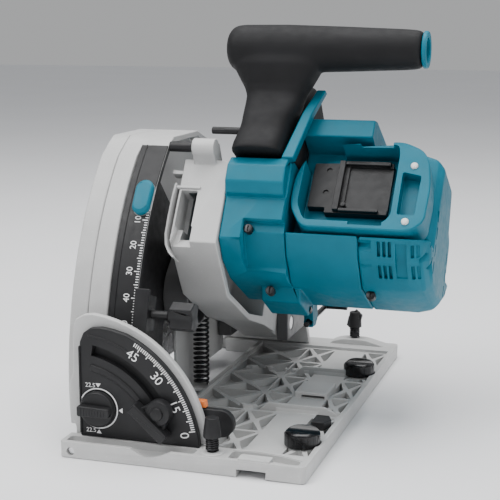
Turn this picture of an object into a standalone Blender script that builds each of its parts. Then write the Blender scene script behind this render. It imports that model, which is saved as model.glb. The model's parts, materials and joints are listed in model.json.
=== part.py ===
"""Track plunge saw: an assembly of separate parts, modelled at rest (blade raised, bevel at zero).

World axes: +X is the motor side, -Y the front of the saw, +Y the rear and +Z up.
The origin is the centre of the sole.  All sizes below are in millimetres and are turned
into metres when a mesh is made.  Parts that plunge are modelled as they stand at full
depth, and hang from an empty on the plunge axis that is turned back to the rest position.
"""
import math

import bmesh
import bpy
from mathutils import Matrix, Vector

MM = 0.001
GAP = 0.3

# Base
BASE_WIDTH = 165.0
BASE_LENGTH = 304.0
BASE_HEIGHT = 11.0
SOLE_THICKNESS = 3.0
RIB_TOP = 8.5
NOTCH_EDGE_X = -33.0
NOTCH_HALF_LENGTH = 125.0
POCKET_EDGE_X = -62.0
POCKET_HALF_LENGTH = 134.3
GROOVE_X = (38.0, 57.3)
GROOVE_DEPTH = 5.2
GEAR_RELIEF = ((-34.0, -64.0, -1.0), (-30.9, -3.0, 12.0))

# Bevel hinge: an axis along Y at the left edge of the base
BEVEL_AXIS = (-75.0, 0.0, 4.5)
FRONT_BRACKET_RADIUS = 88.5
REAR_BRACKET_RADIUS = 86.0
QUADRANT_RADIUS = 84.5
STUD_RADIUS_FROM_AXIS = 66.0
STUD_ANGLE = 26.7
DIAL = (-60.2, 31.0)

# Plunge hinge: an axis along X behind the blade
PLUNGE_AXIS = (0.0, 84.0, 40.0)
PLUNGE_TRAVEL = 29.5
SPINDLE_ARM = 118.0
SPINDLE_ANGLE_DOWN = -6.6

# Blade and its drive
BLADE_RADIUS = 82.5
BLADE_X = (-74.1, -71.9)
GEAR_TEETH = 32
PINION_TEETH = 8
GEAR_PITCH_RADIUS = 20.5
PINION_PITCH_RADIUS = GEAR_PITCH_RADIUS * PINION_TEETH / GEAR_TEETH
PINION_DIRECTION = 106.8

# Blade case
CASE_RADIUS = 210.0
STRIP_RADIUS = 207.0
CASE_INNER_RADIUS = 203.0
CASE_TOP = 200.0
CASE_BOTTOM = 13.0

# Depth stop, an arm's length from the plunge axis
STOP_RADIUS = 207.0
STOP_ANGLE = 14.2

# Battery bays: a plane leaning back from the vertical
BAY_LEAN = 10.5
BAY_CENTRE = (-97.9, 85.4)
MIRROR_Y = -42.0

# Hex key for the blade bolt, clipped along the motor housing's sloping underside
KEY_TIP = (43.0, -2.6, 16.3)
KEY_SLOPE = 30.2
KEY_RADIUS = 2.1
KEY_LENGTH = 57.0

SPRING_AT = (-42.0, 8.0)
SPRING_FOOT = 6.0
SPRING_TOP = 69.5


def polar(centre, radius, degrees):
    """Point on a circle, counted from the first axis towards the second."""
    turn = math.radians(degrees)
    return centre[0] + radius * math.cos(turn), centre[1] + radius * math.sin(turn)


def arc(centre, radius, start, end, steps):
    """Points along an arc, both ends included."""
    return [polar(centre, radius, start + (end - start) * n / steps) for n in range(steps + 1)]


def forward(radius, elevation):
    """Point in the YZ plane ahead of the plunge axis, at an elevation in degrees."""
    return polar(PLUNGE_AXIS[1:], radius, 180.0 - elevation)


def forward_arc(radius, start, end, steps):
    """Arc ahead of the plunge axis, by elevation."""
    return [forward(radius, start + (end - start) * n / steps) for n in range(steps + 1)]


SPINDLE = forward(SPINDLE_ARM, SPINDLE_ANGLE_DOWN)
MOTOR = polar(SPINDLE, GEAR_PITCH_RADIUS + PINION_PITCH_RADIUS, PINION_DIRECTION)
STUD = polar((BEVEL_AXIS[0], BEVEL_AXIS[2]), STUD_RADIUS_FROM_AXIS, STUD_ANGLE)


# ---------------------------------------------------------------- solids

def placed_point(axis, first, second, along):
    """World order of a point given in the plane across an axis and along it."""
    return {
        "X": (along, first, second),
        "Y": (first, along, second),
        "Z": (first, second, along),
    }[axis]


def prism(outline, axis, low, high):
    """Closed solid from an outline in the plane across an axis."""
    mesh = bmesh.new()
    corners = [mesh.verts.new(placed_point(axis, a, b, low)) for a, b in outline]
    face = mesh.faces.new(corners)
    grown = bmesh.ops.extrude_face_region(mesh, geom=[face])
    moved = [item for item in grown["geom"] if isinstance(item, bmesh.types.BMVert)]
    bmesh.ops.translate(mesh, verts=moved, vec=placed_point(axis, 0.0, 0.0, high - low))
    bmesh.ops.recalc_face_normals(mesh, faces=mesh.faces)
    return mesh


def box(low, high):
    """Closed box between two corners."""
    outline = [(low[0], low[1]), (high[0], low[1]), (high[0], high[1]), (low[0], high[1])]
    return prism(outline, "Z", low[2], high[2])


def turned(profile, axis, centre, steps=32, ring=False):
    """Solid of revolution; the profile is (radius, place along the axis) pairs."""
    mesh = bmesh.new()
    points = [mesh.verts.new(placed_point(axis, centre[0] + r, centre[1], t)) for r, t in profile]
    pairs = list(zip(points, points[1:]))
    if ring:
        pairs.append((points[-1], points[0]))
    edges = [mesh.edges.new(pair) for pair in pairs]
    direction = Vector(placed_point(axis, 0.0, 0.0, 1.0))
    middle = Vector(placed_point(axis, centre[0], centre[1], 0.0))
    bmesh.ops.spin(mesh, geom=points + edges, cent=middle, axis=direction,
                   angle=2.0 * math.pi, steps=steps, use_merge=True)
    bmesh.ops.remove_doubles(mesh, verts=mesh.verts, dist=0.001)
    bmesh.ops.recalc_face_normals(mesh, faces=mesh.faces)
    return mesh


def cylinder(axis, centre, radius, low, high, steps=24):
    """Plain round bar."""
    return turned([(0.0, low), (radius, low), (radius, high), (0.0, high)], axis, centre, steps)


def tube(axis, centre, inner, outer, low, high, steps=28):
    """Round tube, open at both ends."""
    profile = [(inner, low), (outer, low), (outer, high), (inner, high)]
    return turned(profile, axis, centre, steps, ring=True)


def loft(sections):
    """Closed solid through rings of equally many points."""
    mesh = bmesh.new()
    rings = [[mesh.verts.new(point) for point in section] for section in sections]
    count = len(rings[0])
    for lower, upper in zip(rings, rings[1:]):
        for n in range(count):
            after = (n + 1) % count
            mesh.faces.new((lower[n], lower[after], upper[after], upper[n]))
    mesh.faces.new(rings[0])
    mesh.faces.new(rings[-1])
    bmesh.ops.recalc_face_normals(mesh, faces=mesh.faces)
    return mesh


def turned_by(mesh, matrix):
    """The same solid, moved by a matrix."""
    bmesh.ops.transform(mesh, matrix=matrix, verts=mesh.verts)
    bmesh.ops.recalc_face_normals(mesh, faces=mesh.faces)
    return mesh


def toothed(centre, teeth, tip, root, phase):
    """Outline of a gear with plain trapezoid teeth, a backlash wide of its partner."""
    outline = []
    pitch = 360.0 / teeth
    for tooth in range(teeth):
        middle = phase + tooth * pitch
        for radius, share in ((root, -0.30), (tip, -0.13), (tip, 0.13), (root, 0.30)):
            outline.append(polar(centre, radius, middle + share * pitch))
    return outline


# ---------------------------------------------------------------- objects

def look(name, colour, roughness, metallic=0.0):
    """Plain principled material."""
    material = bpy.data.materials.new(name)
    material.use_nodes = True
    shader = material.node_tree.nodes["Principled BSDF"]
    shader.inputs["Base Color"].default_value = (*colour, 1.0)
    shader.inputs["Roughness"].default_value = roughness
    shader.inputs["Metallic"].default_value = metallic
    return material


def clear_scene():
    """Start from an empty scene."""
    for old in list(bpy.data.objects):
        bpy.data.objects.remove(old, do_unlink=True)


def empty(name, at, parent=None, turn=0.0):
    """Empty on a joint's axis; its children are placed from it."""
    marker = bpy.data.objects.new(name, None)
    bpy.context.scene.collection.objects.link(marker)
    start = Vector((0.0, 0.0, 0.0))
    if parent:
        marker.parent = parent["object"]
        start = parent["at"]
    marker.location = (Vector(at) - start) * MM
    marker.rotation_euler = (math.radians(turn), 0.0, 0.0)
    return {"object": marker, "at": Vector(at)}


def mesh_object(name, solid, origin, frame):
    """Object whose mesh is the solid, in metres, measured from its origin."""
    bmesh.ops.translate(solid, verts=solid.verts, vec=-Vector(origin))
    bmesh.ops.scale(solid, vec=(MM, MM, MM), verts=solid.verts)
    data = bpy.data.meshes.new(name)
    solid.to_mesh(data)
    solid.free()
    obj = bpy.data.objects.new(name, data)
    bpy.context.scene.collection.objects.link(obj)
    start = Vector((0.0, 0.0, 0.0))
    if frame:
        obj.parent = frame["object"]
        start = frame["at"]
    obj.location = (Vector(origin) - start) * MM
    return obj


def node(name, material, solid, steps=(), origin=(0.0, 0.0, 0.0), frame=None, smooth=False):
    """Named sub-part: a solid, then Boolean steps given as ("add" or "cut", solid)."""
    obj = mesh_object(name, solid, origin, frame)
    obj.data.materials.append(material)
    for number, (kind, tool) in enumerate(steps):
        helper = mesh_object(f"{name}.tool_{number}", tool, origin, frame)
        helper.hide_render = True
        helper.display_type = "WIRE"
        step = obj.modifiers.new(f"{kind}_{number}", "BOOLEAN")
        step.operation = "UNION" if kind == "add" else "DIFFERENCE"
        step.solver = "EXACT"
        step.object = helper
    if smooth:
        obj.data.shade_smooth()
        obj.data.set_sharp_from_angle(angle=math.radians(35.0))
    return obj


def coil(name, material, centre, radius, wire, turns, low, high, frame=None):
    """Helical spring along Z, as a bevelled curve with filled ends."""
    per_turn = 8
    count = turns * per_turn
    start = frame["at"] if frame else Vector((0.0, 0.0, 0.0))
    curve = bpy.data.curves.new(name, "CURVE")
    curve.dimensions = "3D"
    curve.bevel_depth = wire * MM
    curve.bevel_resolution = 0
    curve.use_fill_caps = True
    line = curve.splines.new("POLY")
    line.points.add(count)
    for n in range(count + 1):
        turn = 2.0 * math.pi * n / per_turn
        x = centre[0] + radius * math.cos(turn)
        y = centre[1] + radius * math.sin(turn)
        z = low + wire + (high - low - 2.0 * wire) * n / count
        place = (Vector((x, y, z)) - start) * MM
        line.points[n].co = (*place, 1.0)
    curve.materials.append(material)
    obj = bpy.data.objects.new(name, curve)
    bpy.context.scene.collection.objects.link(obj)
    if frame:
        obj.parent = frame["object"]
    return obj


def rod(name, material, points, radius, frame, resolution=1):
    """Bent round bar through points, as a bevelled curve with filled ends."""
    curve = bpy.data.curves.new(name, "CURVE")
    curve.dimensions = "3D"
    curve.bevel_depth = radius * MM
    curve.bevel_resolution = resolution
    curve.use_fill_caps = True
    line = curve.splines.new("POLY")
    line.points.add(len(points) - 1)
    for n, point in enumerate(points):
        line.points[n].co = (*((Vector(point) - frame["at"]) * MM), 1.0)
    curve.materials.append(material)
    obj = bpy.data.objects.new(name, curve)
    bpy.context.scene.collection.objects.link(obj)
    obj.parent = frame["object"]
    return obj


# ---------------------------------------------------------------- base

RAIL_KNOBS = {"front": (68.5, -107.0), "rear": (69.0, 60.0)}
CLAMP_SCREWS = {"front": (19.4, -143.0), "rear": (46.8, 143.0)}


def base_outline():
    """C-shaped plate with an open notch for the blade case at its left."""
    half_width = BASE_WIDTH / 2.0
    half_length = BASE_LENGTH / 2.0
    front = [
        (-half_width, -half_length), (half_width - 3.0, -half_length),
        (half_width, -half_length + 3.0),
    ]
    rear = [(half_width, half_length - 3.0), (half_width - 3.0, half_length), (-half_width, half_length)]
    notch = [
        (-half_width, POCKET_HALF_LENGTH), (POCKET_EDGE_X, POCKET_HALF_LENGTH),
        (POCKET_EDGE_X, NOTCH_HALF_LENGTH), (NOTCH_EDGE_X, NOTCH_HALF_LENGTH),
        (NOTCH_EDGE_X, -NOTCH_HALF_LENGTH), (POCKET_EDGE_X, -NOTCH_HALF_LENGTH),
        (POCKET_EDGE_X, -POCKET_HALF_LENGTH), (-half_width, -POCKET_HALF_LENGTH),
    ]
    return front + rear + notch


def rib_pockets():
    """Triangular pockets that leave crossed ribs standing on the sole."""
    columns = ((-29.0, 12.5), (12.5, 35.5), (60.0, 79.0))
    first_row, pitch, rows = -132.5, 43.0, 6
    rib = 1.4
    pockets = []
    for left, right in columns:
        for row in range(rows):
            low = first_row + row * pitch
            high = low + pitch
            middle = Vector(((left + right) / 2.0, (low + high) / 2.0))
            corners = [Vector(c) for c in ((left, low), (right, low), (right, high), (left, high))]
            for n in range(4):
                trio = [corners[n], corners[(n + 1) % 4], middle]
                inner = sum(trio, Vector((0.0, 0.0))) / 3.0
                shape = []
                for corner in trio:
                    away = corner - inner
                    shape.append(corner - away.normalized() * min(rib * 2.4, away.length * 0.5))
                pockets.append(prism([tuple(p) for p in shape], "Z", SOLE_THICKNESS, BASE_HEIGHT + 1.0))
    return pockets


def joined(solids):
    """Several separate solids as one mesh, to cut with in one step."""
    whole = bmesh.new()
    for solid in solids:
        data = bpy.data.meshes.new("part_of_tool")
        solid.to_mesh(data)
        solid.free()
        whole.from_mesh(data)
        bpy.data.meshes.remove(data)
    return whole


def make_base(looks):
    """Cast base plate with its ribs, walls, bosses, guide-rail groove and glide strip."""
    steps = []
    inside = [(-29.0, -132.5, 79.0, -44.0), (-29.0, -40.5, 79.0, 51.5), (-29.0, 55.0, 79.0, 125.5)]
    for x0, y0, x1, y1 in inside:
        steps.append(("cut", box((x0, y0, RIB_TOP), (x1, y1, BASE_HEIGHT + 2.0))))
    steps.append(("cut", joined(rib_pockets())))
    for wall_y in (-43.5, 52.0):
        wall = [(17.0, 4.0), (26.0, 14.0), (68.0, 14.0), (79.5, 8.0), (79.5, 4.0)]
        steps.append(("add", prism(wall, "Y", wall_y, wall_y + 2.6)))
    steps.append(("add", box((36.0, -8.0, 4.0), (60.5, 20.0, 13.0))))
    for x, y in RAIL_KNOBS.values():
        steps.append(("add", cylinder("Z", (x, y), 10.2, 2.0, 9.4)))
    hump = [(22.0, 4.0), (28.0, 13.0), (38.0, 16.0), (56.0, 16.0), (80.0, 10.0), (80.0, 4.0)]
    steps.append(("add", prism(hump, "Y", 137.0, 149.5)))
    steps.append(("add", box((10.0, -150.0, 4.0), (30.0, -136.0, 12.0))))
    steps.append(("add", box((-14.0, -122.0, 2.0), (3.0, -119.0, 30.0))))
    steps.append(("cut", box((GROOVE_X[0], -160.0, -2.0), (GROOVE_X[1], 160.0, GROOVE_DEPTH))))
    steps.append(("cut", box((41.0, -9.0, 7.0), (58.5, 12.0, 10.5))))
    steps.append(("cut", box(*GEAR_RELIEF)))
    steps.append(("cut", box((63.0, -146.0, -1.0), (67.0, 146.0, 1.0))))
    for x, y in RAIL_KNOBS.values():
        steps.append(("cut", cylinder("Z", (x, y), 12.3, 8.9, 14.0, 28)))
        steps.append(("cut", cylinder("Z", (x, y), 4.3, 4.0, 12.0)))
    for x, y in CLAMP_SCREWS.values():
        steps.append(("cut", cylinder("Z", (x, y), 2.8, 5.9, 20.0)))
    for side in (-1.0, 1.0):
        ends = sorted((side * 153.0, side * 130.0))
        hole = cylinder("Y", (BEVEL_AXIS[0], BEVEL_AXIS[2]), 2.8, ends[0], ends[1], 16)
        steps.append(("cut", hole))
    node("base_plate", looks["casting"], prism(base_outline(), "Z", 0.0, BASE_HEIGHT), steps)
    node("glide_strip", looks["pale"], box((63.3, -145.7, 0.0), (66.7, 145.7, 0.7)))


def quadrant_outline():
    """Black quarter plate about the bevel axis."""
    centre = (BEVEL_AXIS[0], BEVEL_AXIS[2])
    rise = math.degrees(math.asin((BASE_HEIGHT + GAP - centre[1]) / QUADRANT_RADIUS))
    left_x = -73.5
    top = math.degrees(math.acos((left_x - centre[0]) / QUADRANT_RADIUS))
    return [(left_x, BASE_HEIGHT + GAP)] + arc(centre, QUADRANT_RADIUS, rise, top, 18)


def make_quadrants(looks):
    """Two quarter plates that stand on the base and guide the bevel brackets."""
    centre = (BEVEL_AXIS[0], BEVEL_AXIS[2])
    slot = arc(centre, STUD_RADIUS_FROM_AXIS + 3.6, 21.0, 80.5, 14)
    slot += arc(centre, STUD_RADIUS_FROM_AXIS - 3.6, 80.5, 21.0, 14)
    for side, name in ((-1.0, "front_quadrant"), (1.0, "rear_quadrant")):
        low, high = sorted((side * 134.0, side * 139.0))
        steps = [("cut", prism(slot, "Y", low - 1.0, high + 1.0))]
        node(name, looks["black"], prism(quadrant_outline(), "Y", low, high), steps)
    for side, name in ((-1.0, "bevel_pin_front"), (1.0, "bevel_pin_rear")):
        low, high = sorted((side * 150.0, side * 128.4))
        node(name, looks["steel"], cylinder("Y", centre, 2.5, low, high, 16), smooth=True)


def make_stop_dial(looks):
    """Positive-stop dial in front of the quadrant: a disc with a grip bar."""
    at = DIAL
    disc = turned([(0.0, -143.5), (11.0, -143.5), (12.0, -142.5), (12.0, -139.3), (0.0, -139.3)],
                  "Y", at, 28)
    grip = box((at[0] - 11.0, -149.0, at[1] - 3.2), (at[0] + 11.0, -143.0, at[1] + 3.2))
    node("positive_stop_dial", looks["black"], disc, [("add", grip)], (at[0], -141.0, at[1]), smooth=True)


def make_rail_knobs(looks):
    """Fluted round knobs that take up play on the guide rail."""
    for place, at in RAIL_KNOBS.items():
        body = turned([(0.0, 4.6), (3.9, 4.6), (3.9, 9.3), (11.8, 9.3), (11.8, 18.0), (10.6, 20.0),
                       (0.0, 20.0)], "Z", at, 32)
        flutes = [cylinder("Z", polar(at, 13.2, 45.0 * n), 2.4, 9.0, 21.0, 10) for n in range(8)]
        node(f"rail_knob_{place}", looks["gloss_black"], body, [("cut", joined(flutes))],
             (at[0], at[1], 9.3), smooth=True)


def make_clamp_screws(looks):
    """Sprung thumb screws for an accessory fence, front and rear."""
    feet = {"front": 12.3, "rear": 16.3}
    for place, at in CLAMP_SCREWS.items():
        foot = feet[place]
        head = foot + 9.0
        profile = [(0.0, 6.2), (2.4, 6.2), (2.4, head), (5.8, head), (5.6, head + 4.0),
                   (4.4, head + 13.0), (0.0, head + 13.0)]
        screw = turned(profile, "Z", at, 20)
        steps = []
        if place == "rear":
            wing = [(at[0] - 6.6, head + 1.0), (at[0] + 4.0, head + 1.0), (at[0] + 6.4, head + 10.0),
                    (at[0] + 1.0, head + 15.0), (at[0] - 5.0, head + 9.0)]
            steps.append(("add", prism(wing, "Y", at[1] - 2.4, at[1] + 2.4)))
        node(f"clamp_screw_{place}", looks["black"], screw, steps, (at[0], at[1], foot), smooth=True)
        coil(f"clamp_spring_{place}", looks["dark_steel"], at, 3.6, 0.5, 4, foot, head - GAP)


def make_small_base_controls(looks):
    """Slider beside the front knob, and the paddle lever behind the front bracket."""
    slider = [(66.0, -76.0), (75.0, -76.0), (78.5, -68.0), (75.0, -60.0), (66.0, -60.0)]
    node("rail_slider", looks["black"], prism(slider, "Z", RIB_TOP + GAP, 14.5),
         origin=(75.0, -68.0, 9.0))
    paddle = [(-12.0, 15.5), (20.0, 15.5)] + arc((19.5, 24.7), 9.2, -80.0, 80.0, 10)
    paddle += [(-2.0, 34.0), (-12.0, 30.0)]
    pivot = (-6.0, 22.0)
    node("undercut_lever", looks["black"], prism(paddle, "Y", -127.6, -122.4),
         [("cut", cylinder("Y", pivot, 2.3, -130.0, -120.0, 14))], (pivot[0], -125.0, pivot[1]))
    tip = [(1.0, 34.3), (10.0, 34.3), (9.0, 39.0), (2.5, 39.0)]
    node("undercut_lever_tip", looks["orange"], prism(tip, "Y", -127.6, -122.4),
         origin=(pivot[0], -125.0, pivot[1]))


# ---------------------------------------------------------------- tilting frame

def bracket_outline(radius):
    """Light quarter plate that turns with the saw, with its hub on the bevel axis."""
    centre = (BEVEL_AXIS[0], BEVEL_AXIS[2])
    floor = BASE_HEIGHT + 0.8
    rise = math.degrees(math.asin((floor - centre[1]) / radius))
    hub = arc(centre, 4.3, 200.0, 340.0, 8)
    rim = arc(centre, radius, rise, 98.0, 20)
    return hub + [(-62.5, floor)] + rim + [(-86.0, 40.0), (-84.0, 12.0)]


def make_brackets(looks, tilt):
    """Front and rear bevel brackets, each with a lug that meets the blade case."""
    centre = (BEVEL_AXIS[0], BEVEL_AXIS[2])
    for side, name, radius in ((-1.0, "front_bracket", FRONT_BRACKET_RADIUS),
                               (1.0, "rear_bracket", REAR_BRACKET_RADIUS)):
        low, high = sorted((side * 133.6, side * 128.8))
        hole_low, hole_high = sorted((side * 136.0, side * 120.0))
        steps = [
            ("cut", cylinder("Y", centre, 2.8, hole_low, hole_high, 16)),
            ("cut", cylinder("Y", STUD, 3.2, hole_low, hole_high, 16)),
        ]
        node(name, looks["casting"], prism(bracket_outline(radius), "Y", low, high), steps,
             origin=BEVEL_AXIS, frame=tilt)


def make_bevel_levers(looks, tilt):
    """Clamping levers on studs that run through the brackets and the quadrants' slots."""
    for side, name in ((-1.0, "bevel_lever_front"), (1.0, "bevel_lever_rear")):
        def across(a, b):
            return sorted((side * a, side * b))
        stud = cylinder("Y", STUD, 2.8, *across(128.4, 145.0), 14)
        boss = cylinder("Y", STUD, 8.5, *across(139.6, 149.0), 24)
        slope = math.radians(-42.0)
        along = Vector((math.cos(slope), math.sin(slope)))
        side_step = Vector((along.y, -along.x))
        middle = Vector(STUD) + side_step * 9.0
        corners = [middle - along * 15.0 - side_step * 3.6, middle + along * 15.0 - side_step * 3.6,
                   middle + along * 15.0 + side_step * 3.6, middle - along * 15.0 + side_step * 3.6]
        bar = prism([tuple(c) for c in corners], "Y", *across(141.0, 151.0))
        node(name, looks["black"], stud, [("add", boss), ("add", bar)],
             (STUD[0], side * 140.0, STUD[1]), tilt)


def case_outline(radius, bottom=CASE_BOTTOM, inset=0.0):
    """Side view of the blade case: a front arc, a flat top and a sloping back."""
    y, z = PLUNGE_AXIS[1:]
    start = -math.degrees(math.asin((z - bottom) / radius))
    finish = math.degrees(math.asin((CASE_TOP - 12.0 - z) / radius))
    front = forward_arc(radius, start, finish, 16)
    top = CASE_TOP - inset
    back = [
        (-52.0, top - 4.0), (-44.0, top), (4.0, top), (34.0 - inset, 190.0 - inset),
        (72.0 - inset, 162.0 - inset), (95.0 - inset, 138.0 - inset), (100.0 - inset, 128.0 - inset),
        (100.0 - inset, bottom),
    ]
    return front + back


DUCT = (-60.0, 108.0)


def make_case(looks, tilt):
    """Blade case: a rim wall around the blade, a side wall and the return spring's seat."""
    rim = prism(case_outline(CASE_RADIUS), "X", -75.0, -42.0)
    hollow = prism(case_outline(CASE_INNER_RADIUS, CASE_BOTTOM - 6.0, 4.0), "X", -80.0, -54.0)
    open_side = prism(case_outline(CASE_INNER_RADIUS, CASE_BOTTOM - 6.0, 4.0), "X", -51.5, -30.0)
    strip = forward_arc(STRIP_RADIUS, -12.0, 55.0, 18)
    strip += forward_arc(CASE_RADIUS + 8.0, 55.0, -12.0, 18)
    slot_half_width = 14.6
    slot = forward_arc(SPINDLE_ARM + slot_half_width, -24.0, 31.5, 12)
    slot += forward_arc(SPINDLE_ARM - slot_half_width, 31.5, -24.0, 12)
    tab = box((-54.0, -4.0, 3.0), (-51.5, 20.0, 30.0))
    shelf = box((-53.0, -1.0, 3.0), (-35.0, 17.0, SPRING_FOOT - GAP))
    duct_hole = cylinder("Y", DUCT, 14.0, 94.0, 104.0, 24)
    steps = [
        ("cut", hollow), ("cut", open_side), ("cut", prism(strip, "X", -61.6, -38.0)),
        ("cut", prism(slot, "X", -60.0, -45.0)), ("add", tab), ("add", shelf), ("cut", duct_hole),
        ("cut", box((-55.5, 84.0, 10.0), (-38.0, 110.0, 56.0))),
    ]
    node("blade_case", looks["casting"], rim, steps, BEVEL_AXIS, tilt)

    cover = prism(case_outline(CASE_RADIUS), "X", -88.0, -75.3)
    inner = prism(case_outline(CASE_INNER_RADIUS, CASE_BOTTOM - 6.0, 5.0), "X", -85.4, -70.0)
    node("case_cover", looks["casting"], cover, [("cut", inner)], BEVEL_AXIS, tilt)

    plate = forward_arc(STRIP_RADIUS + GAP, -3.0, 48.0, 18)
    plate += forward_arc(STRIP_RADIUS + 1.3, 48.0, -3.0, 18)
    node("depth_scale", looks["black"], prism(plate, "X", -61.2, -42.0), (), BEVEL_AXIS, tilt)


def make_yoke(looks, tilt):
    """Yoke that carries the plunge shaft, and the shaft itself."""
    y, z = PLUNGE_AXIS[1:]
    plan = [
        (-50.5, y - 12.0), (-39.5, y - 12.0), (-39.5, 102.0), (-1.0, 102.0), (-1.0, y - 12.0),
        (8.0, y - 12.0), (8.0, 127.9), (-50.5, 127.9),
    ]
    yoke = prism(plan, "Z", z - 12.0, z + 12.0)
    steps = [("cut", cylinder("X", (y, z), 5.3, -60.0, 20.0, 20))]
    node("plunge_yoke", looks["casting"], yoke, steps, BEVEL_AXIS, tilt)
    node("plunge_shaft", looks["steel"], cylinder("X", (y, z), 5.0, -50.0, 7.5, 20), (),
         BEVEL_AXIS, tilt, smooth=True)


def make_depth_stop(looks, tilt):
    """Stop block on the depth scale and the wing knob that clamps it."""
    x0, x1 = -41.6, -31.6
    block = forward_arc(199.0, 11.0, 17.6, 3)
    block += [forward(210.4, 17.6), forward(210.4, 18.6), forward(214.0, 18.6), forward(214.0, 11.0)]
    node("depth_stop_block", looks["black"], prism(block, "X", x0, x1), (),
         (x0, PLUNGE_AXIS[1], PLUNGE_AXIS[2]), tilt)
    at = forward(STOP_RADIUS, STOP_ANGLE)
    knob = turned([(0.0, x1 + GAP), (3.0, x1 + GAP), (3.0, -19.0), (5.5, -18.0), (6.0, -2.0), (0.0, 0.0)],
                  "X", at, 20)
    wing = [polar(at, 9.8, 90.0), polar(at, 9.8, 40.0), polar(at, 5.0, 0.0), polar(at, 9.8, -40.0),
            polar(at, 9.8, -90.0), polar(at, 9.8, -140.0), polar(at, 5.0, 180.0), polar(at, 9.8, 140.0)]
    node("depth_stop_knob", looks["black"], knob, [("add", prism(wing, "X", -16.5, -1.0))],
         (x1, at[0], at[1]), tilt)


def make_scoring_button(looks, tilt):
    """Oblong button for the scoring cut, above the scale."""
    middle = 35.8
    middle_x = -48.2
    end_radius = 6.2
    straight = 6.2
    ring = []
    for n in range(24):
        turn = 2.0 * math.pi * n / 24.0
        along = math.copysign(straight, math.sin(turn)) + end_radius * math.sin(turn)
        ring.append((end_radius * math.cos(turn), math.degrees(along / STRIP_RADIUS)))
    sections = []
    for height, share in ((1.6, 1.0), (5.0, 1.0), (6.5, 0.82)):
        radius = STRIP_RADIUS + height
        sections.append([(middle_x + x * share, *forward(radius, middle + along * share))
                         for x, along in ring])
    at = forward(STRIP_RADIUS, middle)
    node("scoring_button", looks["teal"], loft(sections), (), (middle_x, at[0], at[1]), tilt, smooth=True)


def make_dust_nozzle(looks, tilt):
    """Swivelling dust outlet behind the blade case."""
    body = turned([(13.2, 95.0), (13.2, 100.6), (18.5, 101.5), (18.5, 110.0), (16.8, 112.0), (16.0, 192.0),
                   (14.2, 192.0), (12.0, 95.0)], "Y", DUCT, 32, ring=True)
    rib = box((DUCT[0] - 2.0, 102.0, DUCT[1] + 17.0), (DUCT[0] + 2.0, 110.0, DUCT[1] + 21.0))
    node("dust_nozzle", looks["black"], body, [("add", rib)], (DUCT[0], 100.0, DUCT[1]), tilt, smooth=True)


# ---------------------------------------------------------------- plunging head

def gear_pair_outline(around_gear, around_pinion):
    """Belt-shaped outline around the driven gear and the pinion."""
    distance = GEAR_PITCH_RADIUS + PINION_PITCH_RADIUS
    half = math.degrees(math.acos((around_gear - around_pinion) / distance))
    outline = arc(SPINDLE, around_gear, PINION_DIRECTION + half, PINION_DIRECTION + 360.0 - half, 24)
    return outline + arc(MOTOR, around_pinion, PINION_DIRECTION - half, PINION_DIRECTION + half, 8)


def make_gear_housing(looks, head):
    """Light cast housing between the motor and the blade, with the arm to the plunge shaft."""
    y, z = PLUNGE_AXIS[1:]
    outline = [(-109.0, 39.0), (-105.5, 100.0), (-70.0, 104.0), (-20.0, 96.0), (30.0, 64.0)]
    outline += arc((y, z), 13.0, 80.0, -100.0, 12)
    outline += [(30.0, 22.0), (-10.0, 14.6), (-67.0, 14.6)]
    housing = prism(outline, "X", -31.0, 2.0)
    inside = [(-104.0, 43.0), (-101.0, 96.0), (-70.0, 99.5), (-22.0, 91.0), (22.0, 61.0), (22.0, 27.0),
              (-12.0, 19.0), (-64.0, 19.0)]
    boss_at = (-111.1, 106.6)
    neck = [(-115.5, 103.5), (-106.0, 112.5), (-92.0, 103.0), (-100.0, 92.0)]
    finger = [(-2.0, 29.3), (8.0, 28.2), (12.0, 46.0), (-3.0, 46.0)]
    steps = [
        ("cut", prism(inside, "X", -26.0, 6.0)),
        ("add", cylinder("X", boss_at, 6.3, -24.0, -8.0, 20)),
        ("add", prism(neck, "X", -24.0, -8.0)),
        ("add", prism(finger, "X", -47.0, -30.0)),
        ("cut", cylinder("X", (y, z), 5.3, -40.0, 10.0, 20)),
        ("cut", cylinder("X", SPINDLE, 6.6, -33.0, -20.0, 20)),
        ("cut", cylinder("X", MOTOR, 5.0, -33.0, -20.0, 16)),
        ("cut", cylinder("X", boss_at, 3.8, -26.0, -12.0, 14)),
        ("cut", box((-1.4, y - 24.0, z - 30.0), (6.0, y + 20.0, z + 30.0))),
    ]
    node("gear_housing", looks["casting"], housing, steps, PLUNGE_AXIS, head)
    node("stop_rod", looks["black"], cylinder("X", boss_at, 3.5, -41.3, -12.3, 16), (),
         PLUNGE_AXIS, head, smooth=True)

    cover = prism(gear_pair_outline(24.6, 9.8), "X", -50.0, -31.3)
    cover_steps = [
        ("add", cylinder("X", SPINDLE, 13.0, -62.0, -48.0, 24)),
        ("cut", prism(gear_pair_outline(22.4, 7.4), "X", -47.5, -30.0)),
        ("cut", cylinder("X", SPINDLE, 11.3, -63.0, -46.0, 24)),
    ]
    node("gear_cover", looks["casting"], cover, cover_steps, PLUNGE_AXIS, head)
    node("spindle_bearing", looks["steel"], tube("X", SPINDLE, 6.3, 11.0, -61.5, -53.0), (),
         PLUNGE_AXIS, head, smooth=True)


def mirrored(outline):
    """The rear half of a symmetric motor section, in reverse order."""
    return [(2.0 * MIRROR_Y - y, z) for y, z in reversed(outline)]


def body_section(brow):
    """Motor body across the motor's axis; a brow overhangs each battery bay."""
    half = [(-66.0, 27.2), (-88.0, 40.0), (-99.5, 53.0), (-81.0, 51.7), (-67.9, 122.5)]
    if brow:
        half += [(-89.5, 127.5), (-87.3, 141.0), (-80.0, 143.5)]
    else:
        half += [(-66.0, 126.0)]
    return half + mirrored(half)


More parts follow.
